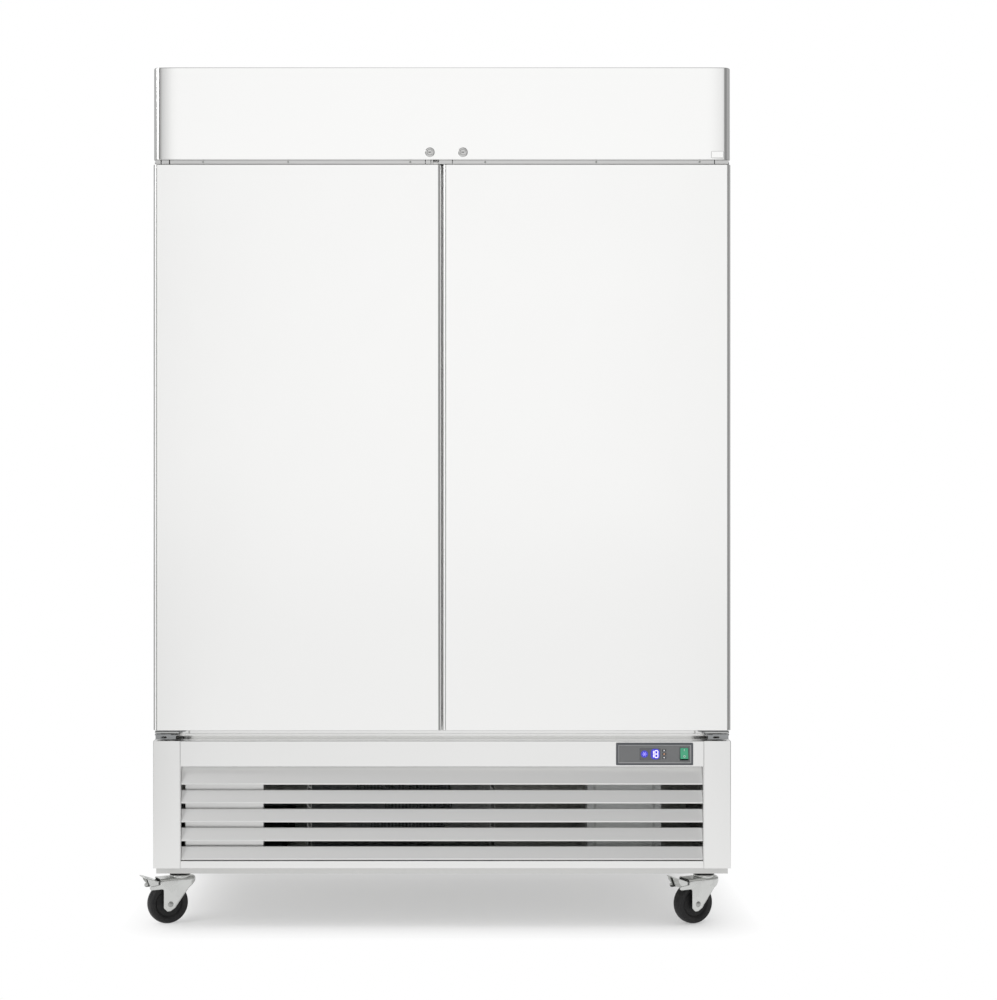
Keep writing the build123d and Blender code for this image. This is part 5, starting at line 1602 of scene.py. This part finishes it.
@dataclass
class Shelving:
    """Six wire shelves on clips in slotted standards."""

    levels: tuple[float, ...] = (850.0, 1150.0, 1450.0)
    inner: float = 12.0
    outer: float = 613.0
    front: float = -255.0
    back: float = 331.0
    rod: float = 3.0
    wires: int = 26
    low: float = 600.0
    high: float = 1760.0
    slot_pitch: float = 25.0
    stands: tuple[Spot, ...] = (
        (630.0, -225.0, 90.0), (630.0, 309.0, 90.0), (22.0, 349.0, 180.0), (22.0, -265.0, 0.0),
    )

    def make_shelves(self) -> None:
        """Build the grids: a ring of rod, cross rods and close wires welded on top."""
        grids = Workpiece("wire_shelf_grids", Rack.wire)
        for level in self.levels:
            z = level + self.rod
            for sign in (-1, 1):
                x0, x1 = sorted((sign * (self.inner + self.rod), sign * (self.outer - self.rod)))
                ring = rectangle(x0, x1, self.front + self.rod, self.back - self.rod, 14.0, 4)
                grids.tube([(x, y, z) for x, y in ring], self.rod, 10, closed=True)
                for y in (-110.0, 38.0, 186.0):
                    grids.tube([(x, y, z - 0.4) for x in (x0, x1)], 2.5, 8)
                for k in range(1, self.wires):
                    x = x0 + (x1 - x0) * k / self.wires
                    ends = (self.front + 1.0, self.back - 1.0)
                    grids.tube([(x, y, z + 3.6) for y in ends], 1.7, 6)
        grids.done("cabinet", "wire_white", "wire_shelves", sharp=50)

    def make_supports(self) -> None:
        """Build the slotted standards and the bent clips."""
        standards = Workpiece("shelf_standards", Rack.post_steel)
        clips = Workpiece("shelf_clips", Rack.clip_zinc)
        count = int((self.high - self.low) / self.slot_pitch)
        bars = [self.low + k * self.slot_pitch for k in range(count)]
        for sign in (-1, 1):
            for x, y, turn in self.stands:
                turned = Matrix.Rotation(math.radians(sign * turn), 4, "Z")
                standards.place = clips.place = Matrix.Translation((sign * x, y, 0)) @ turned
                for edge, other in ((-10.0, -6.0), (6.0, 10.0)):
                    standards.block(edge, other, 4.5, 6.0, self.low, self.high)
                for edge in (-10.0, 8.5):
                    standards.block(edge, edge + 1.5, 0.0, 4.5, self.low, self.high)
                for z in bars:
                    standards.block(-6.0, 6.0, 4.5, 6.0, z, z + self.slot_pitch - 5.0)
                for level in self.levels:
                    a, b, top = 6.3, 24.0, level - 0.4
                    path = [(a, level - 18), (a, top), (b, top), (b, level - 5)]
                    clips.prism(folded(path, -1.6, 1.2), Axis.X, -7, 7)
                    for edge in (-7.0, 5.8):
                        web = [(a, level - 17), (a, level - 1), (b - 1.5, level - 1), (b - 4, level - 5)]
                        clips.prism(web, Axis.X, edge, edge + 1.2)
        standards.done("cabinet", "zinc_steel", "shelf_supports")
        clips.done("cabinet", "zinc_steel", sharp=45)

    def build(self) -> None:
        """Build the shelves and what carries them."""
        self.make_shelves()
        self.make_supports()


@dataclass
class EvaporatorCover:
    """Folded cover under the ceiling: guarded fan openings in front, a sloping pan below."""

    half_width: float = 450.0
    front: float = -85.0
    back: float = 315.0
    low: float = 1819.0
    top: float = CEILING
    slope: float = 18.0
    gauge: float = 1.5
    fans: Point = FAN_PLACES
    axis: float = FAN_HEIGHT
    opening: float = 75.0

    def make_cover(self) -> None:
        """Build the cover with its round openings and screws."""
        w, f, g = self.half_width, self.front, self.gauge
        cover = Workpiece("evaporator_cover", Rack.cover_aluminium)
        holes = [circle(x, self.axis, self.opening, 44) for x in self.fans]
        cover.prism(rectangle(-w, w, self.low + self.slope, self.top), Axis.Y, f, f + g, holes)
        pan = [(self.back, self.low + 60), (self.back, self.low), (f, self.low + self.slope)]
        cover.prism(folded(pan, -g, 3.0), Axis.X, -w, w)
        end = [(f, self.top), (f, self.low + self.slope), (self.back, self.low), (self.back, self.top)]
        for x in (-w - g, w):
            cover.prism(end, Axis.X, x, x + g)
        for x in self.fans:
            rim = [(75, 0), (75, -3), (76.2, -4.2), (78, -3.6), (82, 0)]
            cover.turned(rim, (x, f, self.axis), BACKWARD, 44)
        cover.use(Rack.bolt_zinc)
        for x in (-430.0, -300.0, 0.0, 300.0, 430.0):
            for z in (self.low + 34, self.top - 14):
                cover.screw((x, f, z), FORWARD, 4.2, 2.2)
        cover.done("cabinet", "liner_aluminium", "evaporator_housing", sharp=40)

    def make_guards(self) -> None:
        """Build the domed wire guards: rings on four bent spokes."""
        guards = Workpiece("evaporator_fan_guards", Rack.fan_chrome)
        for x in self.fans:
            for radius in (14.0, 26.0, 38.0, 50.0, 62.0, 74.0):
                y = self.front - 13.0 + 6.0 * (radius / 74.0) ** 2
                ring = circle(x, self.axis, radius, 36)
                guards.tube([(a, y, b) for a, b in ring], 1.1, 6, closed=True)
            for turn in (math.pi / 4 + math.pi / 2 * k for k in range(4)):
                c, s = math.cos(turn), math.sin(turn)
                spoke = [(12.0, 14.0), (50.0, 11.5), (76.0, 8.5), (86.0, 3.0), (90.0, 0.6)]
                line = [(x + r * c, self.front - rise, self.axis + r * s) for r, rise in spoke]
                guards.tube(line, 1.4, 6)
                guards.screw(line[-1], FORWARD, 3.6, 2.0)
        guards.done("cabinet", "liner_aluminium", sharp=50)

    def build(self) -> None:
        """Build the cover and its guards."""
        self.make_cover()
        self.make_guards()


@dataclass
class FinnedCoil:
    """Coil of thin fins between end plates, its tubes joined by return bends."""

    node: str
    x: Point
    y: Point
    z: Point
    finish: Finish
    pipe: Finish
    pitch: float
    overhang: float = 14.0
    bend_rise: float = 25.0

    def bends(self, piece: Workpiece, x: float, out: int, first: int) -> None:
        """Add the return bends of one end.

        Args:
            piece: the piece that gets them.
            x: face of the end plate.
            out: direction that they stand out in, along X.
            first: tube that the lowest bend starts from.
        """
        rows = max(2, round((self.y[1] - self.y[0]) / 26.0))
        tubes = int((self.z[1] - self.z[0] - 20) / self.bend_rise) + 1
        for row in range(rows):
            y = self.y[0] + (self.y[1] - self.y[0]) * (row + 0.5) / rows
            for k in range(first, tubes - 1, 2):
                middle = self.z[0] + 12 + (k + 0.5) * self.bend_rise
                turns = [math.pi * t / 8 for t in range(9)]
                rise = self.bend_rise / 2
                arc = [(x + out * 9.0 * math.sin(t), y, middle - rise * math.cos(t)) for t in turns]
                piece.tube(arc, 3.8, 8)

    def build(self) -> None:
        """Build the fins, the end plates and the return bends."""
        (x0, x1), (y0, y1), (z0, z1) = self.x, self.y, self.z
        low, high = x0 + self.overhang, x1 - self.overhang
        coil = Workpiece(f"{self.node}_fins", self.finish)
        count = round((high - low) / self.pitch)
        for k in range(count + 1):
            x = low + (high - low) * k / count
            coil.block(x - 0.15, x + 0.15, y0 + 1, y1 - 1, z0 + 1, z1 - 1)
        coil.use(Rack.galvanised)
        for x in (low - 1.4, high):
            coil.block(x, x + 1.4, y0, y1, z0, z1)
        coil.use(self.pipe)
        self.bends(coil, low - 1.4, -1, 1)
        self.bends(coil, high + 1.4, 1, 0)
        coil.done("cabinet", "fin_aluminium", self.node, sharp=50)


@dataclass
class FanMotors:
    """Two small fan motors, each on a slotted strap from the ceiling."""

    places: Point = FAN_PLACES
    front: float = -55.0
    axis: float = FAN_HEIGHT
    ceiling: float = CEILING

    def build(self) -> None:
        """Build the motors and their straps."""
        motors = Workpiece("evaporator_motor_cans", Rack.motor_grey)
        can = [(0, 0), (9, 0), (10, 2), (24, 2), (29, 5), (30, 9), (30, 31), (28, 34), (28, 42)]
        can += [(24, 47), (9, 48), (0, 48)]
        for x in self.places:
            motors.turned(can, (x, self.front, self.axis), BACKWARD, 36)
            motors.use(Rack.galvanised)
            slots = [slot_outline(x - 12, x + 12, z, 5.0, 3) for z in (self.ceiling - 26, self.ceiling - 14)]
            strap = rectangle(x - 20, x + 20, self.axis + 12, self.ceiling)
            motors.prism(strap, Axis.Y, -34.0, -28.0, slots)
            motors.use(Rack.motor_grey)
        motors.done("cabinet", "motor_grey", "evaporator_fan_motors", edge=0.4)


@dataclass
class FanWheel:
    """Axial fan wheel: twisted blades round a domed hub."""

    node: str
    place: Spot
    radius: float
    hub: float
    length: float
    blades: int = 5
    root_pitch: float = 44.0
    tip_pitch: float = 27.0

    def make_hub(self) -> None:
        """Build the hub, its shaft bore closed by a clip."""
        hub, r, h = Workpiece(f"{self.node}_hub", Rack.fan_black), self.hub, self.length
        profile = [(0, -h + 1.5), (0.2 * r, -h + 1.5), (0.22 * r, -h), (0.7 * r, -h), (0.93 * r, -h + 2)]
        hub.turned([*profile, (r, -h + 5), (r, -0.4), (0, -0.4)], self.place, BACKWARD, 40)
        hub.use(Rack.bolt_zinc)
        hub.turned([(0, -h + 0.3), (0.14 * r, -h + 0.3), (0.18 * r, -h + 1.5)], self.place, BACKWARD, 20)
        hub.done(self.node, "fan_black", self.node, edge=0.3)

    def make_blades(self) -> None:
        """Build the blades, each turned less at its tip and rounded there."""
        blades = Workpiece(f"{self.node}_blades", Rack.fan_black)
        x, y, z = self.place
        root, steps, across = self.hub * 0.96, 10, 8
        root_chord, tip_chord = 0.85 * self.hub, 0.52 * self.radius
        for number in range(self.blades):
            turn = 2 * math.pi * number / self.blades
            rows = []
            for k in range(steps + 1):
                part = k / steps
                r = root + (self.radius - 0.8 - root) * part
                pitch = math.radians(self.root_pitch + (self.tip_pitch - self.root_pitch) * part)
                chord = (root_chord + (tip_chord - root_chord) * part) * (1 - 0.35 * part**8)
                row = []
                for j in range(across + 1):
                    along = chord * (j / across - 0.5 + 0.12 * part)
                    angle = turn + along * math.cos(pitch) / r
                    camber = 0.07 * chord * (1 - (2 * j / across - 1) ** 2)
                    depth = y - self.length / 2 + 0.92 * along * math.sin(pitch) - camber
                    row.append((x + r * math.sin(angle), depth, z + r * math.cos(angle)))
                rows.append(row)
            blades.grid(rows)
        blades.done(self.node, "fan_black", wall=1.6, sharp=50)

    def build(self) -> None:
        """Build the fan wheel."""
        self.make_hub()
        self.make_blades()


@dataclass
class CondenserHood:
    """Air hood behind the condenser, and the fan motor on a strap across its opening."""

    low: Point = (-330.0, 150.0)
    high: Point = (130.0, 430.0)
    front: float = -289.7
    back: float = -229.7
    gauge: float = 1.5
    axis: Point = (-100.0, 290.0)
    motor_front: float = -211.7

    def build(self) -> None:
        """Build the hood, its rolled opening, the strap and the motor."""
        (x0, z0), (x1, z1), (cx, cz) = self.low, self.high, self.axis
        y0, y1, g = self.front, self.back, self.gauge
        hood = Workpiece("condenser_hood", Rack.galvanised)
        hood.prism(rectangle(x0, x1, z0, z1), Axis.Y, y1 - g, y1, [circle(cx, cz, 125, 64)])
        hood.prism(rectangle(x0, x1, z0, z1), Axis.Y, y0, y1 - g, [rectangle(x0 + g, x1 - g, z0 + g, z1 - g)])
        rim = [(125, 0), (125, -9), (125.8, -10), (127, -9), (127, -2), (133, -0.2)]
        rim += [(133, 1.2), (127, 1.4), (125, 0)]
        hood.turned(rim, (cx, y1, cz), BACKWARD, 64)
        face = y1 + 3.3
        half = [(156, face), (139, face), (139, -202.7)]
        strap = [(cx - x, y) for x, y in half] + [(cx + x, y) for x, y in half[::-1]]
        hood.prism(folded(strap, -3.0, 3.5, 4), Axis.Z, cz - 11, cz + 11)
        hood.use(Rack.bolt_zinc)
        for x in (cx - 149, cx + 149):
            hood.hexagon((x, face, cz), BACKWARD, 6.2, 4.4)
        hood.use(Rack.motor_grey)
        can = [(0, -4), (6, -4), (6, 0), (30, 0), (38, 3), (42, 8), (42, 24), (40, 25), (40, 44)]
        can += [(42, 45), (42, 52), (38, 61), (20, 70), (0, 70)]
        hood.turned(can, (cx, self.motor_front, cz), BACKWARD, 44)
        hood.done("cabinet", "galvanised", "condenser_fan_frame", sharp=40)


@dataclass
class CompressorSet:
    """Hermetic compressor on rubber feet, with its copper lines."""

    x: float = -60.0
    y: float = 90.0
    floor: float = UNIT_FLOOR
    foot: float = 168.0
    spacing: float = 95.0

    def make_pot(self) -> None:
        """Build the welded pot, its foot plate, terminal cover and rubber feet."""
        x, y, z = self.x, self.y, self.foot
        pot = Workpiece("compressor_pot", Rack.compressor_enamel)
        shell = [(0, 3), (58, 3), (80, 11), (90, 24), (92, 38), (92, 86), (95, 87.5), (95, 93)]
        shell += [(92, 94.5), (92, 140), (89, 158), (80, 172), (62, 181), (38, 184), (0, 184)]
        pot.turned(shell, (x, y, z), UP, 56)
        corners = [(a * self.spacing, b * self.spacing) for a, b in QUADRANTS]
        holes = [circle(x + a, y + b, 6.0, 16) for a, b in corners]
        edge = [(-119, -119), (-60, -119), (-48, -96), (48, -96), (60, -119)]
        waist = []
        for _ in range(4):
            waist += edge
            edge = [(-b, a) for a, b in edge]
        plan = rounded([(x + a, y + b) for a, b in waist], 12.0, 4, closed=True)
        pot.prism(plan, Axis.Z, z, z + 4, holes)
        pot.use(Rack.tray_plastic)
        pot.prism(rectangle(x + 12, x + 54, y - 28, y + 28, 7.0), Axis.Z, z + 178, z + 200)
        pot.use(Rack.grommet)
        for a, b in corners:
            rubber = [(0, 0), (13, 0), (13, 6), (9.5, 8), (9.5, 11), (13, 13), (13, 17.7), (0, 17.7)]
            pot.turned(rubber, (x + a, y + b, self.floor), UP, 28)
        pot.use(Rack.bolt_zinc)
        for a, b in corners:
            pot.turned([(12, 0), (12, 1.6), (4, 1.6)], (x + a, y + b, z + 4), UP, 24)
            pot.hexagon((x + a, y + b, z + 5.6), UP, 7.4, 5.6)
        pot.done("cabinet", "compressor_black", "compressor", edge=0.5)

    def make_lines(self) -> None:
        """Build the discharge line over the hood and the suction line up into the floor."""
        lines = Workpiece("copper_lines", Rack.copper)
        x, y, z = self.x, self.y, self.foot + 182
        hot = rounded([(y, z), (y, 448.0), (-319.0, 448.0), (-319.0, 430.3)], 16.0, 7)
        lines.tube([(x, a, b) for a, b in hot], 4.75, 14)
        suction = x - 36.7
        lines.tube([(suction, y, z), (suction, y, 461.7)], 4.75, 14)
        for place in ((x, y, z), (suction, y, z)):
            lines.turned([(8.5, -2), (8.5, 5), (6.6, 8), (4.7, 9)], place, UP, 20)
        lines.done("cabinet", "copper", "refrigerant_lines", sharp=50)

    def build(self) -> None:
        """Build the compressor and its lines."""
        self.make_pot()
        self.make_lines()


@dataclass
class ElectricalBox:
    """Box for the wiring behind the controller, with a lid that carries a raised panel."""

    x: Point = (352.5, 529.5)
    y: Spot = (-354.0, -346.0, -264.0)
    z: Point = (135.0, 380.0)

    def build(self) -> None:
        """Build the box, its lid and its screws."""
        (x0, x1), (face, lid_face, back), (z0, z1) = self.x, self.y, self.z
        box = Workpiece("wiring_box", Rack.box_enamel)
        box.prism(rectangle(x0, x1, lid_face + 2, back, 3.0), Axis.Z, z0, z1)
        lid = [(-1.5, lid_face + 16, 4.0), (-1.5, lid_face + 1.6, 4.0), (-0.6, lid_face + 0.3, 3.6)]
        lid.append((0.6, lid_face, 3.0))
        panel = [(14.0, lid_face, 8.0), (15.0, lid_face - 0.4, 8.0), (20.0, face + 0.7, 7.0)]
        panel.append((21.4, face, 6.0))
        rows = nested((x0, x1, z0 + 30, z1), Axis.Y, lid, steps=5)
        rows += nested((x0, x1, z0 + 35, z1), Axis.Y, panel, steps=5)
        box.grid(rows, closed=True)
        box.cap(rows[-1])
        box.use(Rack.bolt_zinc)
        for x in (x0 + 7, x1 - 7):
            for z in (z0 + 40, z1 - 8):
                box.screw((x, lid_face, z), FORWARD, 3.6, 2.0)
        box.use(Rack.cable_grey)
        for y in (-318.0, -288.0):
            box.hexagon((x0 + 40, y, z1), UP, 10.5, 7.0)
            box.turned([(8.6, 7), (8.2, 14), (6.0, 16.5), (0, 16.5)], (x0 + 40, y, z1), UP, 24)
        box.done("cabinet", "box_white", "electrical_box", sharp=40)


@dataclass
class DrainTray:
    """Moulded tray that boils off the defrost water, open above."""

    centre: Point = (-520.0, 120.0)
    half: Point = (120.0, 150.0)
    low: float = 135.0
    height: float = 60.0

    def build(self) -> None:
        """Build the tray with its rolled rim and ribbed floor."""
        (cx, cy), (w, d) = self.centre, self.half
        tray = Workpiece("evaporating_tray", Rack.tray_plastic)
        h = self.height
        stages = [(6.0, 0.0, 12.0), (1.6, 1.4, 14.0), (3.0, 6.0, 14.0), (1.5, h - 6, 14.0)]
        stages += [(0.0, h - 5, 14.0), (0.0, h - 0.6, 14.0), (0.8, h, 13.0), (3.4, h, 11.0)]
        stages += [(4.4, h - 1, 11.0), (6.0, 8.0, 11.0), (10.0, 3.0, 10.0)]
        rows = nested((cx - w, cx + w, cy - d, cy + d), Axis.Z, stages, self.low)
        tray.grid(rows, closed=True)
        tray.cap(rows[0])
        tray.cap(rows[-1])
        for k in range(-3, 4):
            x = cx + k * 28
            tray.block(x - 1.2, x + 1.2, cy - d + 14, cy + d - 14, self.low + 2.6, self.low + 6)
        tray.done("cabinet", "tray_plastic", "drain_tray", sharp=50)


# Carried-over nodes


@dataclass
class CarriedOver:
    """CAD nodes whose shape is right, each given its finish."""

    finishes: dict[str, Finish] = field(
        default_factory=lambda: {
            "side_panels": Rack.body_steel,
            "underside_panel": Rack.galvanised,
            "wall_insulation": Rack.foam,
            "door_frame": Rack.post_steel,
            "base_tray": Rack.tray_zinc,
            "unit_base": Rack.galvanised,
            "left_door_core": Rack.foam,
            "right_door_core": Rack.foam,
        }
    )

    def build(self) -> None:
        """Give every shown node its finish."""
        for name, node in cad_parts.items():
            if node.hide_render:
                continue
            finish = self.finishes.get(name, Rack.galvanised)
            node.data.materials.clear()
            node.data.materials.append(finish.material())
            LOG.info("%s keeps its shape, finished in %s", name, finish.name)


@dataclass
class Studio:
    """Pale floor, soft light from the left and the camera at the photograph's place."""

    camera_place: Spot = (0.0, -4.91, 1.0347)
    lens: float = 67.853
    shift: float = 0.0565
    footprint: Spot = (0.62, 0.32, 0.0)
    floor_fade: float = 0.16
    # Share of white glow laid over the shadow under the object: painted light.
    floor_lift: float = 0.35
    floor_in_steel: float = 0.91
    floor_reach: Point = (0.9, 2.4)
    walls: tuple[Point, ...] = (
        (-180, 0.8), (-150, 0.75), (-128, 0.15), (-118, 0.5), (-90, 0.5), (-84, 0.12), (-78, 0.15),
        (-72, 1.1), (-40, 1.1), (-34, 0.2), (-17, 0.25), (-10, 1.0), (10, 1.0), (18, 0.7), (26, 0.25),
        (62, 0.27), (72, 0.4), (112, 0.4), (122, 0.22), (150, 0.75), (180, 0.8),
    )
    heights: tuple[Point, ...] = ((0.0, 0.99), (0.2, 0.99), (0.42, 1.0), (0.63, 0.74), (1.0, 0.68))

    def around(self, graph: Graph, spot: object) -> Socket:
        """Return the brightness of the studio in the direction of a place seen from above.

        Args:
            graph: node tree that gets the nodes.
            spot: the place, measured from the object.

        Returns:
            The brightness that steel shows there.
        """
        parts = graph.add("SeparateXYZ", {0: spot}).outputs
        front = graph.maths("MULTIPLY", parts["Y"], -1.0)
        turn = graph.spread(graph.maths("ARCTAN2", parts["X"], front), 0.0, 1.0, -math.pi, math.pi)
        return graph.ramp(turn, [((degrees + 180) / 360, value) for degrees, value in self.walls])

    def make_floor(self) -> None:
        """Lay a white floor that shows the shadow near the object, lightened by a share of painted glow, and
        is plain white further off.
        """
        mesh = bpy.data.meshes.new("floor")
        mesh.from_pydata([(x, y, 0) for x, y in centred(0, 0, 30.0, 30.0)], [], [(0, 1, 2, 3)])
        floor = bpy.data.objects.new("floor", mesh)
        bpy.context.scene.collection.objects.link(floor)
        material = bpy.data.materials.new("floor_white")
        graph = Graph(material)
        graph.put("Base Color", (0.93, 0.93, 0.93, 1))
        graph.put("Roughness", 0.9)
        graph.put("Specular IOR Level", 0.0)
        outside = graph.vector("SUBTRACT", graph.vector("ABSOLUTE", graph.place).outputs[0], self.footprint)
        outside = graph.vector("MAXIMUM", outside.outputs[0], (0, 0, 0))
        distance = graph.vector("LENGTH", outside.outputs[0]).outputs["Value"]
        # Under and next to the object a share of white glow still shows: painted light that lightens the
        # shadow.
        far = graph.spread(distance, self.floor_lift, 1.0, 0.0, self.floor_fade)
        away = graph.vector("MULTIPLY", outside.outputs[0], graph.vector("SIGN", graph.place).outputs[0])
        rays = graph.add("LightPath").outputs
        steel = graph.spread(distance, 1.0, self.around(graph, away.outputs[0]), *self.floor_reach)
        steel = graph.maths("MULTIPLY", steel, self.floor_in_steel)
        glow = graph.add("Emission", {"Strength": graph.spread(rays["Is Glossy Ray"], 1.0, steel)})
        seen = graph.maths("ADD", rays["Is Camera Ray"], rays["Is Glossy Ray"])
        seen = graph.maths("ADD", seen, rays["Is Transmission Ray"])
        share = graph.maths("MULTIPLY", far, seen)
        mix = graph.add("MixShader", {0: share, 1: graph.shader.outputs[0], 2: glow.outputs[0]})
        output = next(n for n in graph.tree.nodes if n.type == "OUTPUT_MATERIAL")
        graph.feed(output.inputs["Surface"], mix.outputs[0])
        mesh.materials.append(material)

    def make_world(self) -> None:
        """Give the camera white, the pieces an even grey light, and steel a room of light and dark walls."""
        world = bpy.data.worlds.new("studio")
        bpy.context.scene.world = world
        graph = Graph(world)
        direction = graph.coordinates["Generated"]
        height = graph.ramp(graph.add("SeparateXYZ", {0: direction}).outputs["Z"], self.heights)
        steel = graph.maths("MULTIPLY", self.around(graph, direction), height)
        rays = graph.add("LightPath").outputs
        light = graph.tint(rays["Is Glossy Ray"], (0.86, 0.86, 0.86, 1), steel)
        seen = graph.maths("ADD", rays["Is Camera Ray"], rays["Is Transmission Ray"])
        graph.put("Color", graph.tint(seen, light, (1, 1, 1, 1)))

    def make_lamp(self, name: str, place: Spot, aim: Spot, size: float, power: float) -> None:
        """Hang one square soft lamp.

        Args:
            name: its name.
            place: where it hangs.
            aim: what it points at.
            size: length of its side.
            power: its strength in watts.
        """
        data = bpy.data.lights.new(name, "AREA")
        data.size = size
        data.energy = power
        lamp = bpy.data.objects.new(name, data)
        lamp.location = place
        lamp.rotation_mode = "QUATERNION"
        lamp.rotation_quaternion = (Vector(aim) - Vector(place)).to_track_quat("-Z", "Y")
        bpy.context.scene.collection.objects.link(lamp)

    def make_camera(self) -> None:
        """Set the camera level, straight on, its frame moved a little to the right."""
        data = bpy.data.cameras.new("camera")
        data.sensor_width = 36.0
        data.lens = self.lens
        data.shift_x = self.shift
        camera = bpy.data.objects.new("camera", data)
        camera.location = self.camera_place
        camera.rotation_euler = (math.pi / 2, 0, 0)
        bpy.context.scene.collection.objects.link(camera)
        bpy.context.scene.camera = camera

    def build(self) -> None:
        """Build the studio."""
        self.make_floor()
        self.make_world()
        self.make_lamp("key", (-4.2, -3.0, 4.2), (0, 0, 1.0), 2.6, 90.0)
        self.make_camera()
        bpy.context.scene.view_settings.view_transform = "Standard"


def main() -> None:
    """Build the refrigerator's pieces and the studio round it."""
    logging.basicConfig(level=logging.INFO, format="%(message)s")
    parts: list[object] = [
        Header(),
        HeaderLock(Side.LEFT, -29.0),
        HeaderLock(Side.RIGHT, 50.0),
        Door(Side.LEFT, -HALF_WIDTH, -0.9, -29.0),
        Door(Side.RIGHT, 0.9, HALF_WIDTH, 50.0),
        HingeSet(Side.LEFT),
        HingeSet(Side.RIGHT),
        LowerFront(),
        Controller(),
        Caster("front_left", -642.5, -284.0, 26.0, True),
        Caster("front_right", 642.5, -284.0, 26.0, True),
        Caster("rear_left", -642.5, 349.0, -15.0),
        Caster("rear_right", 642.5, 349.0, 195.0),
        CabinetSkins(),
        Shelving(),
        EvaporatorCover(),
        FinnedCoil(
            "evaporator_coil", (-380.0, 380.0), (125.0, 275.0), (1887.0, CEILING),
            Rack.fin_aluminium, Rack.copper, 5.0,
        ),
        FanMotors(),
        FanWheel("left_evaporator_fan", (FAN_PLACES[0], -55.3, FAN_HEIGHT), 69.0, 22.0, 22.0),
        FanWheel("right_evaporator_fan", (FAN_PLACES[1], -55.3, FAN_HEIGHT), 69.0, 22.0, 22.0),
        FinnedCoil(
            "condenser", (-330.0, 130.0), (-344.0, -294.0), (UNIT_FLOOR, 430.0),
            Rack.fin_aluminium, Rack.bolt_zinc, 3.4,
        ),
        CondenserHood(),
        FanWheel("condenser_fan", (-100.0, -212.0, 290.0), 118.0, 30.0, 26.0),
        CompressorSet(),
        ElectricalBox(),
        DrainTray(),
        CarriedOver(),
        Studio(),
    ]
    for part in parts:
        part.build()


if __name__ == "__main__":
    main()
